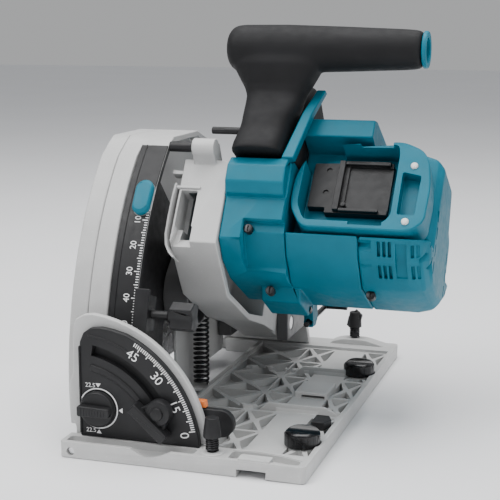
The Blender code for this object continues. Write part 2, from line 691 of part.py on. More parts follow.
def make_motor_housing(looks, head):
    """Teal motor housing, its end cap, and the plate that braces the front handle."""
    main = prism(body_section(True), "X", 45.0, 94.0)
    left = [(-70.0, 27.2), (-92.0, 33.0), (-106.5, 44.0), (-105.0, 100.0), (-97.0, 103.8), (-8.0, 103.8),
            (10.0, 92.0), (10.0, 56.0), (-6.0, 34.0), (-22.0, 27.2)]
    drum = [(-100.0, 73.0), (-110.5, 75.0), (-115.0, 82.0), (-115.0, 94.0), (-110.0, 101.0), (-100.0, 103.0)]
    brace = loft([
        [(38.6, -112.0, 101.0), (47.0, -112.0, 101.0), (47.0, -104.0, 101.0), (38.6, -104.0, 101.0)],
        [(45.0, -99.0, 140.0), (52.0, -99.0, 140.0), (52.0, -91.5, 140.0), (45.0, -91.5, 140.0)],
        [(50.5, -90.0, 162.0), (57.0, -90.0, 162.0), (57.0, -84.0, 162.0), (50.5, -84.0, 162.0)],
    ])
    chunk = [(-60.0, 30.0), (-52.0, 18.0), (-24.0, 17.0), (-18.0, 30.0)]
    key_holder = [(-9.0, 36.0), (0.0, 46.0), (14.0, 30.0), (13.0, 20.5), (5.0, 16.5)]
    key_bore = cylinder("Y", (0.0, 0.0), KEY_RADIUS + GAP, -20.0, 30.0, 16)
    key_place = Matrix.Translation(KEY_TIP) @ Matrix.Rotation(math.radians(KEY_SLOPE), 4, "X")
    steps = [
        ("add", box((40.0, -70.0, 35.0), (55.0, -14.0, 98.0))),
        ("add", prism(left, "X", 2.3, 44.7)),
        ("add", prism(drum, "X", 3.0, 43.9)),
        ("add", brace),
        ("add", prism(chunk, "X", 22.0, 50.0)),
        ("add", prism(key_holder, "X", 39.5, 46.5)),
        ("cut", turned_by(key_bore, key_place)),
        ("cut", cylinder("X", MOTOR, 20.8, 24.0, 99.0, 32)),
        ("cut", cylinder("X", MOTOR, 13.0, -2.0, 30.0, 24)),
        ("cut", box((52.0, -62.0, 78.0), (99.0, -22.0, 134.0))),
        ("cut", cylinder("Z", (80.0, MIRROR_Y), 8.4, 133.0, 150.0, 24)),
    ]
    node("motor_housing", looks["teal"], main, steps, PLUNGE_AXIS, head)

    sections = []
    for x, share in ((94.3, 1.0), (126.0, 1.0), (136.0, 0.95), (141.0, 0.84)):
        middle = (MIRROR_Y, 72.0)
        sections.append([(x, middle[0] + (a - middle[0]) * share, middle[1] + (b - middle[1]) * share)
                         for a, b in body_section(False)])
    cap_steps = [
        ("cut", cylinder("X", MOTOR, 20.8, 90.0, 132.0, 32)),
        ("cut", box((90.0, -62.0, 78.0), (128.0, -22.0, 118.0))),
    ]
    node("motor_end_cap", looks["teal"], loft(sections), cap_steps, PLUNGE_AXIS, head)
    node("speed_dial", looks["black"], cylinder("Z", (80.0, MIRROR_Y), 8.0, 134.5, 144.8, 24), (),
         (80.0, MIRROR_Y, 133.3), head, smooth=True)


def bay_matrix(mirror):
    """Maps (x, up the bay, out of the bay) onto the head."""
    lean = math.radians(BAY_LEAN)
    up = Vector((0.0, math.sin(lean), math.cos(lean)))
    out = Vector((0.0, -math.cos(lean), math.sin(lean)))
    matrix = Matrix.Identity(4)
    matrix.col[1] = (*up, 0.0)
    matrix.col[2] = (*out, 0.0)
    matrix.col[3] = (0.0, BAY_CENTRE[0], BAY_CENTRE[1], 1.0)
    if mirror:
        flip = Matrix.Translation((0.0, 2.0 * MIRROR_Y, 0.0)) @ Matrix.Diagonal((1.0, -1.0, 1.0, 1.0))
        matrix = flip @ matrix
    return matrix


def make_bays(looks, head):
    """Battery bays front and rear: a frame and its terminal block each."""
    ring = [(56.0, -29.5), (46.0, -14.0), (45.3, 6.0), (49.0, 20.0), (59.0, 35.0), (116.0, 40.0),
            (130.0, 33.5), (135.0, 25.0), (138.0, 5.0), (137.0, -22.0), (128.0, -29.5)]
    pocket = [(57.0, -24.0), (51.0, -12.0), (51.0, 30.0), (57.0, 36.0), (113.0, 37.0), (114.5, 30.0),
              (114.5, -18.0), (110.0, -24.0)]
    latch = [(118.5, -17.0), (118.5, 15.5), (131.0, 13.0), (130.0, -17.5)]
    block = [(54.0, -6.0), (66.0, -6.0), (66.0, -10.0), (108.8, -10.0), (108.8, 31.0), (54.0, 29.0)]
    for place, mirror in (("front", False), ("rear", True)):
        matrix = bay_matrix(mirror)
        steps = [
            ("cut", turned_by(prism(pocket, "Z", -20.3, 3.0), matrix)),
            ("cut", turned_by(prism(latch, "Z", -9.0, 3.0), matrix)),
        ]
        node(f"battery_bay_{place}", looks["teal"], turned_by(prism(ring, "Z", -22.0, 0.0), matrix),
             steps, PLUNGE_AXIS, head)
        rib = prism([(72.0, -9.0), (76.0, -9.0), (76.0, 30.0), (72.0, 30.0)], "Z", -16.0, -10.5)
        node(f"terminal_block_{place}", looks["black"], turned_by(prism(block, "Z", -20.0, -14.0), matrix),
             [("add", turned_by(rib, matrix))], PLUNGE_AXIS, head)


def make_motor(looks, head):
    """Stator, control board, bearing, and the rotor with its pinion and fan."""
    node("stator", looks["dark_steel"], tube("X", MOTOR, 12.3, 20.5, 32.0, 72.0), (),
         PLUNGE_AXIS, head, smooth=True)
    node("control_board", looks["board"], box((54.0, -44.0, 80.0), (90.0, -41.0, 130.0)), (),
         PLUNGE_AXIS, head)
    node("motor_bearing", looks["steel"], tube("X", MOTOR, 4.3, 9.0, 112.0, 119.0, 20), (),
         PLUNGE_AXIS, head, smooth=True)
    origin = (30.0, *MOTOR)
    shaft = turned([(0.0, -46.6), (2.3, -46.6), (2.3, -35.0), (4.0, -34.0), (4.0, 30.0), (11.8, 31.0),
                    (11.8, 73.0), (4.0, 74.0), (4.0, 121.0), (0.0, 121.0)], "X", MOTOR, 24)
    node("rotor", looks["steel"], shaft, (), origin, head, smooth=True)
    facing = PINION_DIRECTION + 180.0
    outline = toothed(MOTOR, PINION_TEETH, 6.0, 3.9, facing + 180.0 / PINION_TEETH)
    pinion = prism(outline, "X", -46.5, -36.5)
    bore = cylinder("X", MOTOR, 2.6, -50.0, -30.0, 16)
    node("pinion", looks["steel"], pinion, [("cut", bore)], origin, head)
    blades = toothed(MOTOR, 9, 19.5, 7.0, 0.0)
    fan = prism(blades, "X", 80.0, 90.0)
    fan_bore = cylinder("X", MOTOR, 4.3, 70.0, 95.0, 16)
    node("cooling_fan", looks["black"], fan, [("cut", fan_bore)], origin, head)


def make_blade_group(looks, head):
    """Spindle, driven gear, flanges, bolt and saw blade, which turn together."""
    origin = (BLADE_X[0], *SPINDLE)
    shaft = turned([(0.0, -84.0), (4.0, -84.0), (4.0, -66.0), (6.0, -65.0), (6.0, -22.0), (0.0, -22.0)],
                   "X", SPINDLE, 24)
    node("spindle", looks["steel"], shaft, [("cut", cylinder("X", SPINDLE, 2.6, -90.0, -68.0, 16))],
         origin, head, smooth=True)
    gear_outline = toothed(SPINDLE, GEAR_TEETH, 21.5, 18.9, PINION_DIRECTION)
    gear_bore = cylinder("X", SPINDLE, 6.3, -50.0, -30.0, 20)
    node("driven_gear", looks["steel"], prism(gear_outline, "X", -46.0, -37.0), [("cut", gear_bore)],
         origin, head)
    teeth = 28
    outline = []
    one_tooth = ((76.0, 1.0), (78.5, 3.5), (BLADE_RADIUS - 0.6, 8.6), (BLADE_RADIUS, 11.2),
                 (77.0, 11.6))
    for tooth in range(teeth):
        at = tooth * 360.0 / teeth
        outline += [polar(SPINDLE, radius, at + turn) for radius, turn in one_tooth]
    blade = prism(outline, "X", *BLADE_X)
    node("saw_blade", looks["blade"], blade, [("cut", cylinder("X", SPINDLE, 4.3, -80.0, -66.0, 20))],
         origin, head)
    flange = [(6.3, -64.6), (9.0, -64.6), (9.0, -67.0), (17.0, -68.0), (17.0, -71.6), (4.3, -71.6),
              (4.3, -66.4), (6.3, -66.0)]
    node("inner_flange", looks["steel"], turned(flange, "X", SPINDLE, 28, ring=True), (),
         origin, head, smooth=True)
    node("outer_flange", looks["steel"], tube("X", SPINDLE, 4.3, 17.0, -78.0, -74.4), (),
         origin, head, smooth=True)
    hexagon = [polar(SPINDLE, 7.5, 60.0 * n) for n in range(6)]
    head_solid = prism(hexagon, "X", -85.0, -78.4)
    node("blade_bolt", looks["steel"], head_solid, [
        ("cut", cylinder("X", SPINDLE, 4.4, -84.3, -77.0, 16)),
        ("add", cylinder("X", SPINDLE, 2.3, -84.8, -69.0, 12)),
    ], origin, head)


def make_handles(looks, head):
    """Front handle with its grip, the rear D-handle, and what is pressed on them."""
    grip_at = (-106.0, 185.0)
    stem = loft([
        [(3.0, -121.0, 104.4), (38.0, -121.0, 104.4), (38.0, -90.0, 104.4), (3.0, -90.0, 104.4)],
        [(4.0, -108.0, 150.0), (44.0, -108.0, 150.0), (44.0, -84.5, 150.0), (4.0, -84.5, 150.0)],
        [(-7.0, -119.0, 174.0), (56.0, -119.0, 174.0), (56.0, -92.0, 174.0), (-7.0, -92.0, 174.0)],
        [(-4.0, -114.0, 184.0), (50.0, -114.0, 184.0), (50.0, -98.0, 184.0), (-4.0, -98.0, 184.0)],
    ])
    grip = turned([(0.0, -12.5), (9.0, -12.5), (14.0, -10.5), (16.2, -6.0), (16.5, 0.0), (16.5, 30.0),
                   (13.8, 116.0), (13.2, 122.0), (11.0, 124.6), (0.0, 124.6)], "X", grip_at, 32)
    lock_at = (-108.0, 121.0)
    steps = [
        ("add", grip),
        ("cut", cylinder("X", grip_at, 8.6, 106.0, 130.0, 20)),
        ("cut", cylinder("X", lock_at, 2.9, -2.0, 18.0, 14)),
    ]
    node("front_handle", looks["black"], stem, steps, PLUNGE_AXIS, head)
    node("grip_end_ring", looks["teal"], tube("X", grip_at, 8.6, 12.4, 124.9, 128.0, 28), (),
         PLUNGE_AXIS, head, smooth=True)
    node("spindle_lock_pin", looks["black"], cylinder("X", lock_at, 2.5, -14.0, 8.0, 14), (),
         (-14.0, *lock_at), head, smooth=True)

    outline = [
        (-86.0, 104.4), (-81.0, 150.0), (-80.5, 162.0), (-71.0, 175.0), (-54.0, 175.0), (52.0, 122.0),
        (61.0, 108.0), (54.0, 80.0), (44.0, 64.0), (10.4, 64.0), (10.4, 78.0), (33.0, 82.0),
        (37.0, 97.0), (29.0, 110.0), (-54.0, 152.0), (-64.0, 147.0), (-66.0, 104.4),
    ]
    into = Vector((0.457, 0.89))
    run = Vector((0.89, -0.457))
    start = Vector((-40.0, 145.0))

    def patch(before, after, depth_low, depth_high):
        corners = (start + run * before + into * depth_low, start + run * after + into * depth_low,
                   start + run * after + into * depth_high, start + run * before + into * depth_high)
        return [tuple(c) for c in corners]

    handle_x = (20.0, 44.6)
    lock_off = (-58.0, 163.0)
    handle_steps = [
        ("cut", prism(patch(-0.5, 27.5, -12.0, 12.5), "X", 26.5, 38.1)),
        ("cut", cylinder("X", lock_off, 4.3, 10.0, 27.0, 16)),
    ]
    node("rear_handle", looks["black"], prism(outline, "X", *handle_x), handle_steps, PLUNGE_AXIS, head)
    node("trigger", looks["black"], prism(patch(0.0, 27.0, -7.0, 7.0), "X", 27.0, 37.6), (),
         (32.3, start.x, start.y), head)
    node("lock_off_button", looks["black"], cylinder("X", lock_off, 4.0, 17.5, 23.5, 16), (),
         (17.5, *lock_off), head, smooth=True)
    slope = math.radians(KEY_SLOPE)
    tip = Vector(KEY_TIP)
    corner = tip + Vector((0.0, math.cos(slope), math.sin(slope))) * KEY_LENGTH
    bend = corner + Vector((3.0, 1.2, 0.7))
    rod("hex_key", looks["dark_steel"], [tip, corner, bend, bend + Vector((14.0, 0.0, 0.0))],
        KEY_RADIUS, head)


# ---------------------------------------------------------------- whole saw

def make_looks():
    """Finishes, by what they are."""
    return {
        "casting": look("light die casting", (0.52, 0.52, 0.51), 0.45, 0.3),
        "teal": look("teal housing plastic", (0.004, 0.185, 0.245), 0.42),
        "black": look("black glass-filled plastic", (0.021, 0.021, 0.022), 0.5),
        "gloss_black": look("glossy black plastic", (0.008, 0.008, 0.008), 0.2),
        "steel": look("bright steel", (0.55, 0.55, 0.56), 0.28, 1.0),
        "dark_steel": look("blackened steel", (0.03, 0.03, 0.032), 0.35, 0.9),
        "blade": look("ground blade steel", (0.6, 0.6, 0.61), 0.3, 1.0),
        "pale": look("white plastic", (0.8, 0.8, 0.78), 0.4),
        "orange": look("orange plastic", (0.85, 0.22, 0.04), 0.4),
        "board": look("green circuit board", (0.02, 0.12, 0.05), 0.5),
    }


def main():
    """Build every sub-part."""
    clear_scene()
    looks = make_looks()
    tilt = empty("bevel_axis", BEVEL_AXIS)
    head = empty("plunge_axis", PLUNGE_AXIS, tilt, -PLUNGE_TRAVEL)
    make_base(looks)
    make_quadrants(looks)
    make_stop_dial(looks)
    make_rail_knobs(looks)
    make_clamp_screws(looks)
    make_small_base_controls(looks)
    make_brackets(looks, tilt)
    make_bevel_levers(looks, tilt)
    make_case(looks, tilt)
    make_yoke(looks, tilt)
    make_depth_stop(looks, tilt)
    make_scoring_button(looks, tilt)
    make_dust_nozzle(looks, tilt)
    coil("return_spring", looks["dark_steel"], SPRING_AT, 5.2, 0.75, 15, SPRING_FOOT, SPRING_TOP, tilt)
    make_gear_housing(looks, head)
    make_motor_housing(looks, head)
    make_bays(looks, head)
    make_motor(looks, head)
    make_blade_group(looks, head)
    make_handles(looks, head)


main()
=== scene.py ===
import json
import math

import bpy
from bpy.props import FloatProperty, FloatVectorProperty, PointerProperty
from mathutils import Matrix, Vector


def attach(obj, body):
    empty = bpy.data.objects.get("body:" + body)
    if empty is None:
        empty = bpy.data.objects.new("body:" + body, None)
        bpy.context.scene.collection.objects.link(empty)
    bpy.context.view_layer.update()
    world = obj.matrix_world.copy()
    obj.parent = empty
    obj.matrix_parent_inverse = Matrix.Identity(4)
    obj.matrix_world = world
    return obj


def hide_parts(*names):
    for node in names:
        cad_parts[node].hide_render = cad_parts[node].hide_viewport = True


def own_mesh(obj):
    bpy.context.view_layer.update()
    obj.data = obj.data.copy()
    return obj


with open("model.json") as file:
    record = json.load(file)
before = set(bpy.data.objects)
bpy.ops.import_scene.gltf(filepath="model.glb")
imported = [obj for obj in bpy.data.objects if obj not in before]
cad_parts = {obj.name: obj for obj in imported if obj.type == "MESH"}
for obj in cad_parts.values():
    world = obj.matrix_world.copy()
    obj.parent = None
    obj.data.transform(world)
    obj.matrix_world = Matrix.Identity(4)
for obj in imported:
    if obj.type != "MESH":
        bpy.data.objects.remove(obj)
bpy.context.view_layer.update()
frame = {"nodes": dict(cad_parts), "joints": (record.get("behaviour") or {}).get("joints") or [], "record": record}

bl_info = {
    "name": "Track Plunge Saw",
    "version": (1, 0, 0),
    "blender": (4, 5, 0),
    "location": "View3D > Sidebar > Plunge Saw",
    "description": "Builds the finished pieces of a track plunge saw around its packed frame",
    "category": "Object",
}

MM = 0.001
FULL_TURN = 2.0 * math.pi

JOINTS = {joint["name"]: joint for joint in frame["joints"]}
PLUNGE_AT = Vector(JOINTS["plunge"]["pos_m"]) / MM
PLUNGE_TRAVEL = JOINTS["plunge"]["range_deg"][1]
BEVEL_AT = Vector(JOINTS["bevel_tilt"]["pos_m"]) / MM
SPINDLE_AT = Vector(JOINTS["blade_spin"]["pos_m"]) / MM
DIAL_AT = Vector(JOINTS["stop_dial_turn"]["pos_m"]) / MM

# The head is drawn level, as it stands at full depth, and then lifted to rest.
LIFT = (
    Matrix.Translation(PLUNGE_AT * MM)
    @ Matrix.Rotation(math.radians(-PLUNGE_TRAVEL), 4, "X")
    @ Matrix.Translation(-PLUNGE_AT * MM)
)

# Places in millimetres: (x, z) for the bevel's axis, (x, y) on the base, (y, z) for what lies along X
BEVEL_CENTRE = (BEVEL_AT.x, BEVEL_AT.z)
PLUNGE_CENTRE = (PLUNGE_AT.y, PLUNGE_AT.z)
RAIL_KNOBS = {"front": (68.5, -107.0), "rear": (69.0, 60.0)}
CLAMP_SCREWS = {"front": (19.4, -143.0), "rear": (46.8, 143.0)}
GRIP_AT = (-106.0, 185.0)
LOCK_PIN_AT = (-108.0, 121.0)

# Front face of the bevel quadrant, and where the bevel scale's 0 degrees stands on it
FACE_Y = -139.0
BEVEL_ZERO = 12.2

# Face of the depth scale about the plunge axis, its 10 mm line's elevation and the step from line to line
SCALE_RADIUS = 208.3
TEN_MM_LINE = 31.5
DEGREES_PER_MM = 0.488

# Return spring: where it stands, its feet and top
SPRING_AT = (-42.0, 8.0)
SPRING_FOOT, SPRING_TOP = 6.0, 69.5

# The battery bay is drawn flat and leant back on the housing; the rear bay mirrors the front one
MIRROR_Y = -42.0
BAY_LEAN = math.radians(10.5)
BAY_PLACE = Matrix((
    (1.0, 0.0, 0.0, 0.0),
    (0.0, math.sin(BAY_LEAN), -math.cos(BAY_LEAN), -97.9 * MM),
    (0.0, math.cos(BAY_LEAN), math.sin(BAY_LEAN), 85.4 * MM),
    (0.0, 0.0, 0.0, 1.0),
))
FLIP = Matrix.Translation((0.0, 2.0 * MIRROR_Y * MM, 0.0)) @ Matrix.Diagonal((1.0, -1.0, 1.0, 1.0))


# ------------------------------------------------------------------ settings

def colour_property(name, words, value):
    """Colour swatch in the panel."""
    return FloatVectorProperty(name=name, description=words, default=value, size=3,
                               subtype="COLOR", min=0.0, max=1.0)


def length_property(name, words, value):
    """Length in the panel, in metres."""
    return FloatProperty(name=name, description=words, default=value, min=0.0, unit="LENGTH")


class FinishSettings(bpy.types.PropertyGroup):
    casting: colour_property("Casting", "Light die-cast metal", (0.47, 0.47, 0.465))
    housing: colour_property("Housing", "Blue-green moulded plastic", (0.0005, 0.135, 0.200))
    black: colour_property("Black plastic", "Glass-filled black plastic", (0.014, 0.014, 0.015))
    rubber: colour_property("Grip", "Soft black grip", (0.012, 0.012, 0.013))
    print_white: colour_property("Markings", "White printed markings", (0.85, 0.85, 0.85))
    orange: colour_property("Lever tip", "Orange lever tip", (0.80, 0.19, 0.035))


class MarkingSettings(bpy.types.PropertyGroup):
    digit_height: length_property("Digit height", "Height of the printed numbers", 0.0062)
    line_width: length_property("Line width", "Width of a printed line", 0.00060)
    paint_height: length_property("Paint height", "How far the print stands proud", 0.00018)


class StudioSettings(bpy.types.PropertyGroup):
    floor: colour_property("Floor", "Plain pale floor", (0.86, 0.86, 0.87))
    lens: FloatProperty(name="Lens", description="Focal length of the camera", default=87.76,
                        min=10.0, unit="CAMERA")
    key_power: FloatProperty(name="Key lamp", description="Power of the main lamp", default=21.0,
                             min=0.0, unit="POWER")


def settings():
    """The add-on's three groups of settings."""
    scene = bpy.context.scene
    return scene.saw_finish, scene.saw_marking, scene.saw_studio


# ------------------------------------------------------------------ finishes

def wire(tree, *pairs):
    """Join sockets, given as (node, output, node, input)."""
    for source, output, target, target_input in pairs:
        tree.links.new(source.outputs[output], target.inputs[target_input])


def noise(tree, place, scale, detail=3.0, roughness=0.55):
    """Noise texture that reads the object's own coordinates."""
    texture = tree.nodes.new("ShaderNodeTexNoise")
    texture.inputs["Scale"].default_value = scale
    texture.inputs["Detail"].default_value = detail
    texture.inputs["Roughness"].default_value = roughness
    wire(tree, (place, "Vector", texture, "Vector"))
    return texture


def ranged(tree, source, output, low, high, to_low, to_high):
    """Map a value from one range to another."""
    mapped = tree.nodes.new("ShaderNodeMapRange")
    for name, value in (("From Min", low), ("From Max", high), ("To Min", to_low), ("To Max", to_high)):
        mapped.inputs[name].default_value = value
    wire(tree, (source, output, mapped, "Value"))
    return mapped


def mixed(tree, factor, output, first, second):
    """Blend of two colours by a value; a colour may be a tuple or a node."""
    blend = tree.nodes.new("ShaderNodeMix")
    blend.data_type = "RGBA"
    tree.links.new(factor.outputs[output], blend.inputs[0])
    for socket, colour in ((6, first), (7, second)):
        if isinstance(colour, tuple):
            blend.inputs[socket].default_value = (*colour, 1.0)
        else:
            tree.links.new(colour.outputs[2], blend.inputs[socket])
    return blend


def tinted(colour, share):
    """The same colour, lighter or darker."""
    return tuple(min(1.0, channel * share) for channel in colour)


def blank_material(name):
    """New material, its node tree and its shader."""
    material = bpy.data.materials.new(name)
    material.use_nodes = True
    return material, material.node_tree, material.node_tree.nodes["Principled BSDF"]


def own_place(tree, location=(0.0, 0.0, 0.0), stretch=(1.0, 1.0, 1.0)):
    """The object's own coordinates, moved and stretched."""
    place = tree.nodes.new("ShaderNodeMapping")
    place.inputs["Location"].default_value = location
    place.inputs["Scale"].default_value = stretch
    wire(tree, (tree.nodes.new("ShaderNodeTexCoord"), "Object", place, "Vector"))
    return place


def uneven_gloss(tree, shader, place, scale, rough):
    """Roughness that wanders between two values."""
    cloudy = noise(tree, place, scale, 4.0)
    gloss = ranged(tree, cloudy, "Fac", 0.3, 0.7, *rough)
    wire(tree, (gloss, "Result", shader, "Roughness"))


def bumped(tree, shader, texture, strength, depth):
    """Bump read from a texture."""
    relief = tree.nodes.new("ShaderNodeBump")
    relief.inputs["Strength"].default_value = strength
    relief.inputs["Distance"].default_value = depth
    wire(tree, (texture, "Fac", relief, "Height"), (relief, "Normal", shader, "Normal"))


def finish(name, colour, metallic=0.0, rough=(0.35, 0.5), grain=1400.0, bump=0.05, depth=0.0002,
           mottle=0.12, mottle_scale=45.0, wear_and_slot_shade=0.0, stretch=(1.0, 1.0, 1.0), coat=0.0, speck=0.0,
           specular=0.5):
    """Finish with a mottled colour, uneven gloss, a fine bumped grain and worn edges."""
    colour = tuple(colour)
    material, tree, shader = blank_material(name)
    for socket, value in (("Metallic", metallic), ("Coat Weight", coat), ("Coat Roughness", 0.12),
                          ("Specular IOR Level", specular)):
        shader.inputs[socket].default_value = value
    place = own_place(tree, stretch=stretch)

    broad = noise(tree, place, mottle_scale, 5.0)
    spread = ranged(tree, broad, "Fac", 0.35, 0.65, 0.0, 1.0)
    tone = mixed(tree, spread, "Result", tinted(colour, 1.0 - mottle), tinted(colour, 1.0 + mottle))
    fine = noise(tree, place, grain, 2.0, 0.6)
    if speck:
        dots = ranged(tree, fine, "Fac", 0.62, 0.70, 0.0, speck)
        tone = mixed(tree, dots, "Result", tone, tinted(colour, 2.2))
    if wear_and_slot_shade:
        geometry = tree.nodes.new("ShaderNodeNewGeometry")
        edge = ranged(tree, geometry, "Pointiness", 0.52, 0.60, 0.0, wear_and_slot_shade)
        tone = mixed(tree, edge, "Result", tone, tinted(colour, 1.55))
    tree.links.new(tone.outputs[2], shader.inputs["Base Color"])
    uneven_gloss(tree, shader, place, mottle_scale * 4.0, rough)
    bumped(tree, shader, fine, bump, depth)
    return material


def ground_steel(name, colour, centre, rings=900.0, rough=(0.16, 0.34)):
    """Steel turned or ground in circles about an axis along X."""
    material, tree, shader = blank_material(name)
    shader.inputs["Metallic"].default_value = 1.0
    shader.inputs["Base Color"].default_value = (*colour, 1.0)
    place = own_place(tree, (0.0, -centre[1] * MM, -centre[2] * MM))
    waves = tree.nodes.new("ShaderNodeTexWave")
    waves.wave_type = "RINGS"
    waves.rings_direction = "X"
    for socket, value in (("Scale", rings), ("Distortion", 4.0), ("Detail", 3.0)):
        waves.inputs[socket].default_value = value
    wire(tree, (place, "Vector", waves, "Vector"))
    uneven_gloss(tree, shader, place, 90.0, rough)
    bumped(tree, shader, waves, 0.12, 0.00005)
    return material


# Each finish: its name, its colour or the panel setting that holds it, and what sets it apart
RECIPES = {
    "casting": ("painted die casting", "casting", dict(
        rough=(0.34, 0.48), grain=900.0, bump=0.22, depth=0.00012, mottle=0.05, wear_and_slot_shade=0.30, speck=0.12,
        specular=0.45)),
    # The same die casting darkened as painted shade, for parts that lie in shadow under the motor
    "shaded casting": ("dark die casting", (0.10, 0.10, 0.102), dict(
        rough=(0.36, 0.50), grain=900.0, bump=0.22, depth=0.00012, mottle=0.10, wear_and_slot_shade=0.30)),
    "housing": ("blue-green housing", "housing", dict(
        rough=(0.40, 0.54), grain=1700.0, bump=0.20, depth=0.00010, mottle=0.07, wear_and_slot_shade=0.35, specular=0.22)),
    "black": ("black plastic", "black", dict(
        rough=(0.38, 0.54), grain=1500.0, bump=0.30, depth=0.00012, mottle=0.18, wear_and_slot_shade=0.30, speck=0.10,
        specular=0.30)),
    "grip": ("soft grip", "rubber", dict(
        rough=(0.58, 0.72), grain=1100.0, bump=0.45, depth=0.00018, mottle=0.15, wear_and_slot_shade=0.15, specular=0.20)),
    "gloss": ("glossy black plastic", (0.005, 0.005, 0.006), dict(
        rough=(0.20, 0.30), grain=600.0, depth=0.0001, mottle=0.2, coat=0.15, specular=0.35)),
    "steel": ("bright steel", (0.60, 0.60, 0.61), dict(
        metallic=1.0, rough=(0.20, 0.34), grain=900.0, bump=0.12, depth=0.00006, mottle=0.06,
        stretch=(0.15, 1.0, 1.0))),
    "dark steel": ("blackened steel", (0.035, 0.035, 0.037), dict(
        metallic=0.85, rough=(0.22, 0.40), grain=1200.0, bump=0.12, depth=0.00006, mottle=0.25, wear_and_slot_shade=0.25)),
    "print": ("white print", "print_white", dict(
        rough=(0.45, 0.6), grain=2500.0, bump=0.08, depth=0.00004, mottle=0.04)),
    "orange": ("orange plastic", "orange", dict(
        rough=(0.34, 0.46), grain=1500.0, bump=0.15, depth=0.0001, mottle=0.08, wear_and_slot_shade=0.3)),
    "pale": ("white plastic", (0.74, 0.74, 0.72), dict(
        rough=(0.30, 0.42), grain=1500.0, bump=0.08, depth=0.00008, mottle=0.05)),
    "board": ("circuit board", (0.015, 0.10, 0.04), dict(
        rough=(0.25, 0.4), grain=500.0, bump=0.3, mottle=0.25, coat=0.3)),
}


FINISHES = {}


def dress(data, look):
    """Give a mesh a material, or the finish of that name, which is made when first asked for."""
    if isinstance(look, str) and look not in FINISHES:
        name, colour, options = RECIPES[look]
        if isinstance(colour, str):
            colour = getattr(settings()[0], colour)
        FINISHES[look] = finish(name, colour, **options)
    data.materials.clear()
    data.materials.append(FINISHES.get(look, look))


# ------------------------------------------------------------------ modelling

def across(axis, first, second, along):
    """Point given in the plane across an axis and along it, in millimetres."""
    order = {"X": (along, first, second), "Y": (first, along, second), "Z": (first, second, along)}
    return Vector(order[axis])


def polar(centre, radius, degrees):
    """Point on a circle in a plane."""
    turn = math.radians(degrees)
    return centre[0] + radius * math.cos(turn), centre[1] + radius * math.sin(turn)


LEVER_STUD = polar(BEVEL_CENTRE, 66.0, 26.7)


def arc(centre, radius, start, end, steps):
    """Points along an arc, both ends included."""
    return [polar(centre, radius, start + (end - start) * n / steps) for n in range(steps + 1)]


def arc_band(centre, first, second, start, end, steps):
    """Outline of a band between two arcs: out along the first radius, back along the second."""
    return arc(centre, first, start, end, steps) + arc(centre, second, end, start, steps)


def filleted(outline, radius, steps=5):
    """Outline with its corners rounded."""
    points = [Vector(point) for point in outline]
    result = []
    for n, corner in enumerate(points):
        before = points[n - 1] - corner
        after = points[(n + 1) % len(points)] - corner
        reach = min(radius, before.length * 0.45, after.length * 0.45)
        first = corner + before.normalized() * reach
        last = corner + after.normalized() * reach
        for step in range(steps + 1):
            share = step / steps
            rest = 1 - share
            result.append(tuple(first * rest ** 2 + corner * (2 * share * rest) + last * share ** 2))
    return result


def between(table, value):
    """Smooth interpolation in rows of (key, values)."""
    for (low, first), (high, last) in zip(table, table[1:]):
        if value <= high:
            share = (value - low) / (high - low)
            share = share * share * (3.0 - 2.0 * share)
            return [a + (b - a) * share for a, b in zip(first, last)]
    return list(table[-1][1])


def ahead(radius, elevation):
    """Point in the YZ plane ahead of the plunge axis, by elevation."""
    return polar(PLUNGE_CENTRE, radius, 180.0 - elevation)


def select_only(piece):
    """Make one piece the only selected and active one."""
    bpy.ops.object.select_all(action="DESELECT")
    piece.select_set(True)
    bpy.context.view_layer.objects.active = piece


def edit_all(piece, *steps):
    """Run edit-mode operators on the whole mesh of a piece."""
    select_only(piece)
    bpy.ops.object.mode_set(mode="EDIT")
    bpy.ops.mesh.select_mode(type="VERT")
    for operator, options in steps:
        bpy.ops.mesh.select_all(action="SELECT")
        operator(**options)
    bpy.ops.object.mode_set(mode="OBJECT")
    return piece


def apply_modifier(piece, kind, **options):
    """Add a modifier, set it up and apply it."""
    select_only(piece)
    added = piece.modifiers.new(kind, kind)
    for name, value in options.items():
        setattr(added, name, value)
    bpy.ops.object.modifier_apply(modifier=added.name)
    return piece


def rounded(piece, width, segments=2, angle=32.0):
    """Round the sharp edges; the width is in millimetres."""
    return apply_modifier(piece, "BEVEL", width=width * MM, segments=segments, limit_method="ANGLE",
                          angle_limit=math.radians(angle), use_clamp_overlap=False,
                          miter_outer="MITER_ARC")


def smoothed(piece, angle=40.0):
    """Smooth shading, with flat faces kept flat."""
    select_only(piece)
    bpy.ops.object.shade_smooth_by_angle(angle=math.radians(angle))
    return apply_modifier(piece, "WEIGHTED_NORMAL", keep_sharp=True)


def slab(outline, axis, low, high, edge=0.0, segments=2):
    """Solid drawn as an outline in the plane across an axis and extruded along it."""
    bpy.ops.object.select_all(action="DESELECT")
    bpy.ops.mesh.primitive_circle_add(vertices=len(outline), radius=1.0, fill_type="NGON")
    piece = bpy.context.object
    for vertex, (first, second) in zip(piece.data.vertices, outline):
        vertex.co = across(axis, first, second, low) * MM
    push = across(axis, 0.0, 0.0, high - low) * MM
    edit_all(piece, (bpy.ops.mesh.extrude_region_move, {"TRANSFORM_OT_translate": {"value": push}}))
    edit_all(piece, (bpy.ops.mesh.normals_make_consistent, {"inside": False}))
    if edge:
        rounded(piece, edge, segments)
    return piece


def brick(low, high, edge=0.0, segments=2):
    """Rectangular block between two corners, with rounded edges."""
    outline = [(low[0], low[1]), (high[0], low[1]), (high[0], high[1]), (low[0], high[1])]
    return slab(outline, "Z", low[2], high[2], edge, segments)


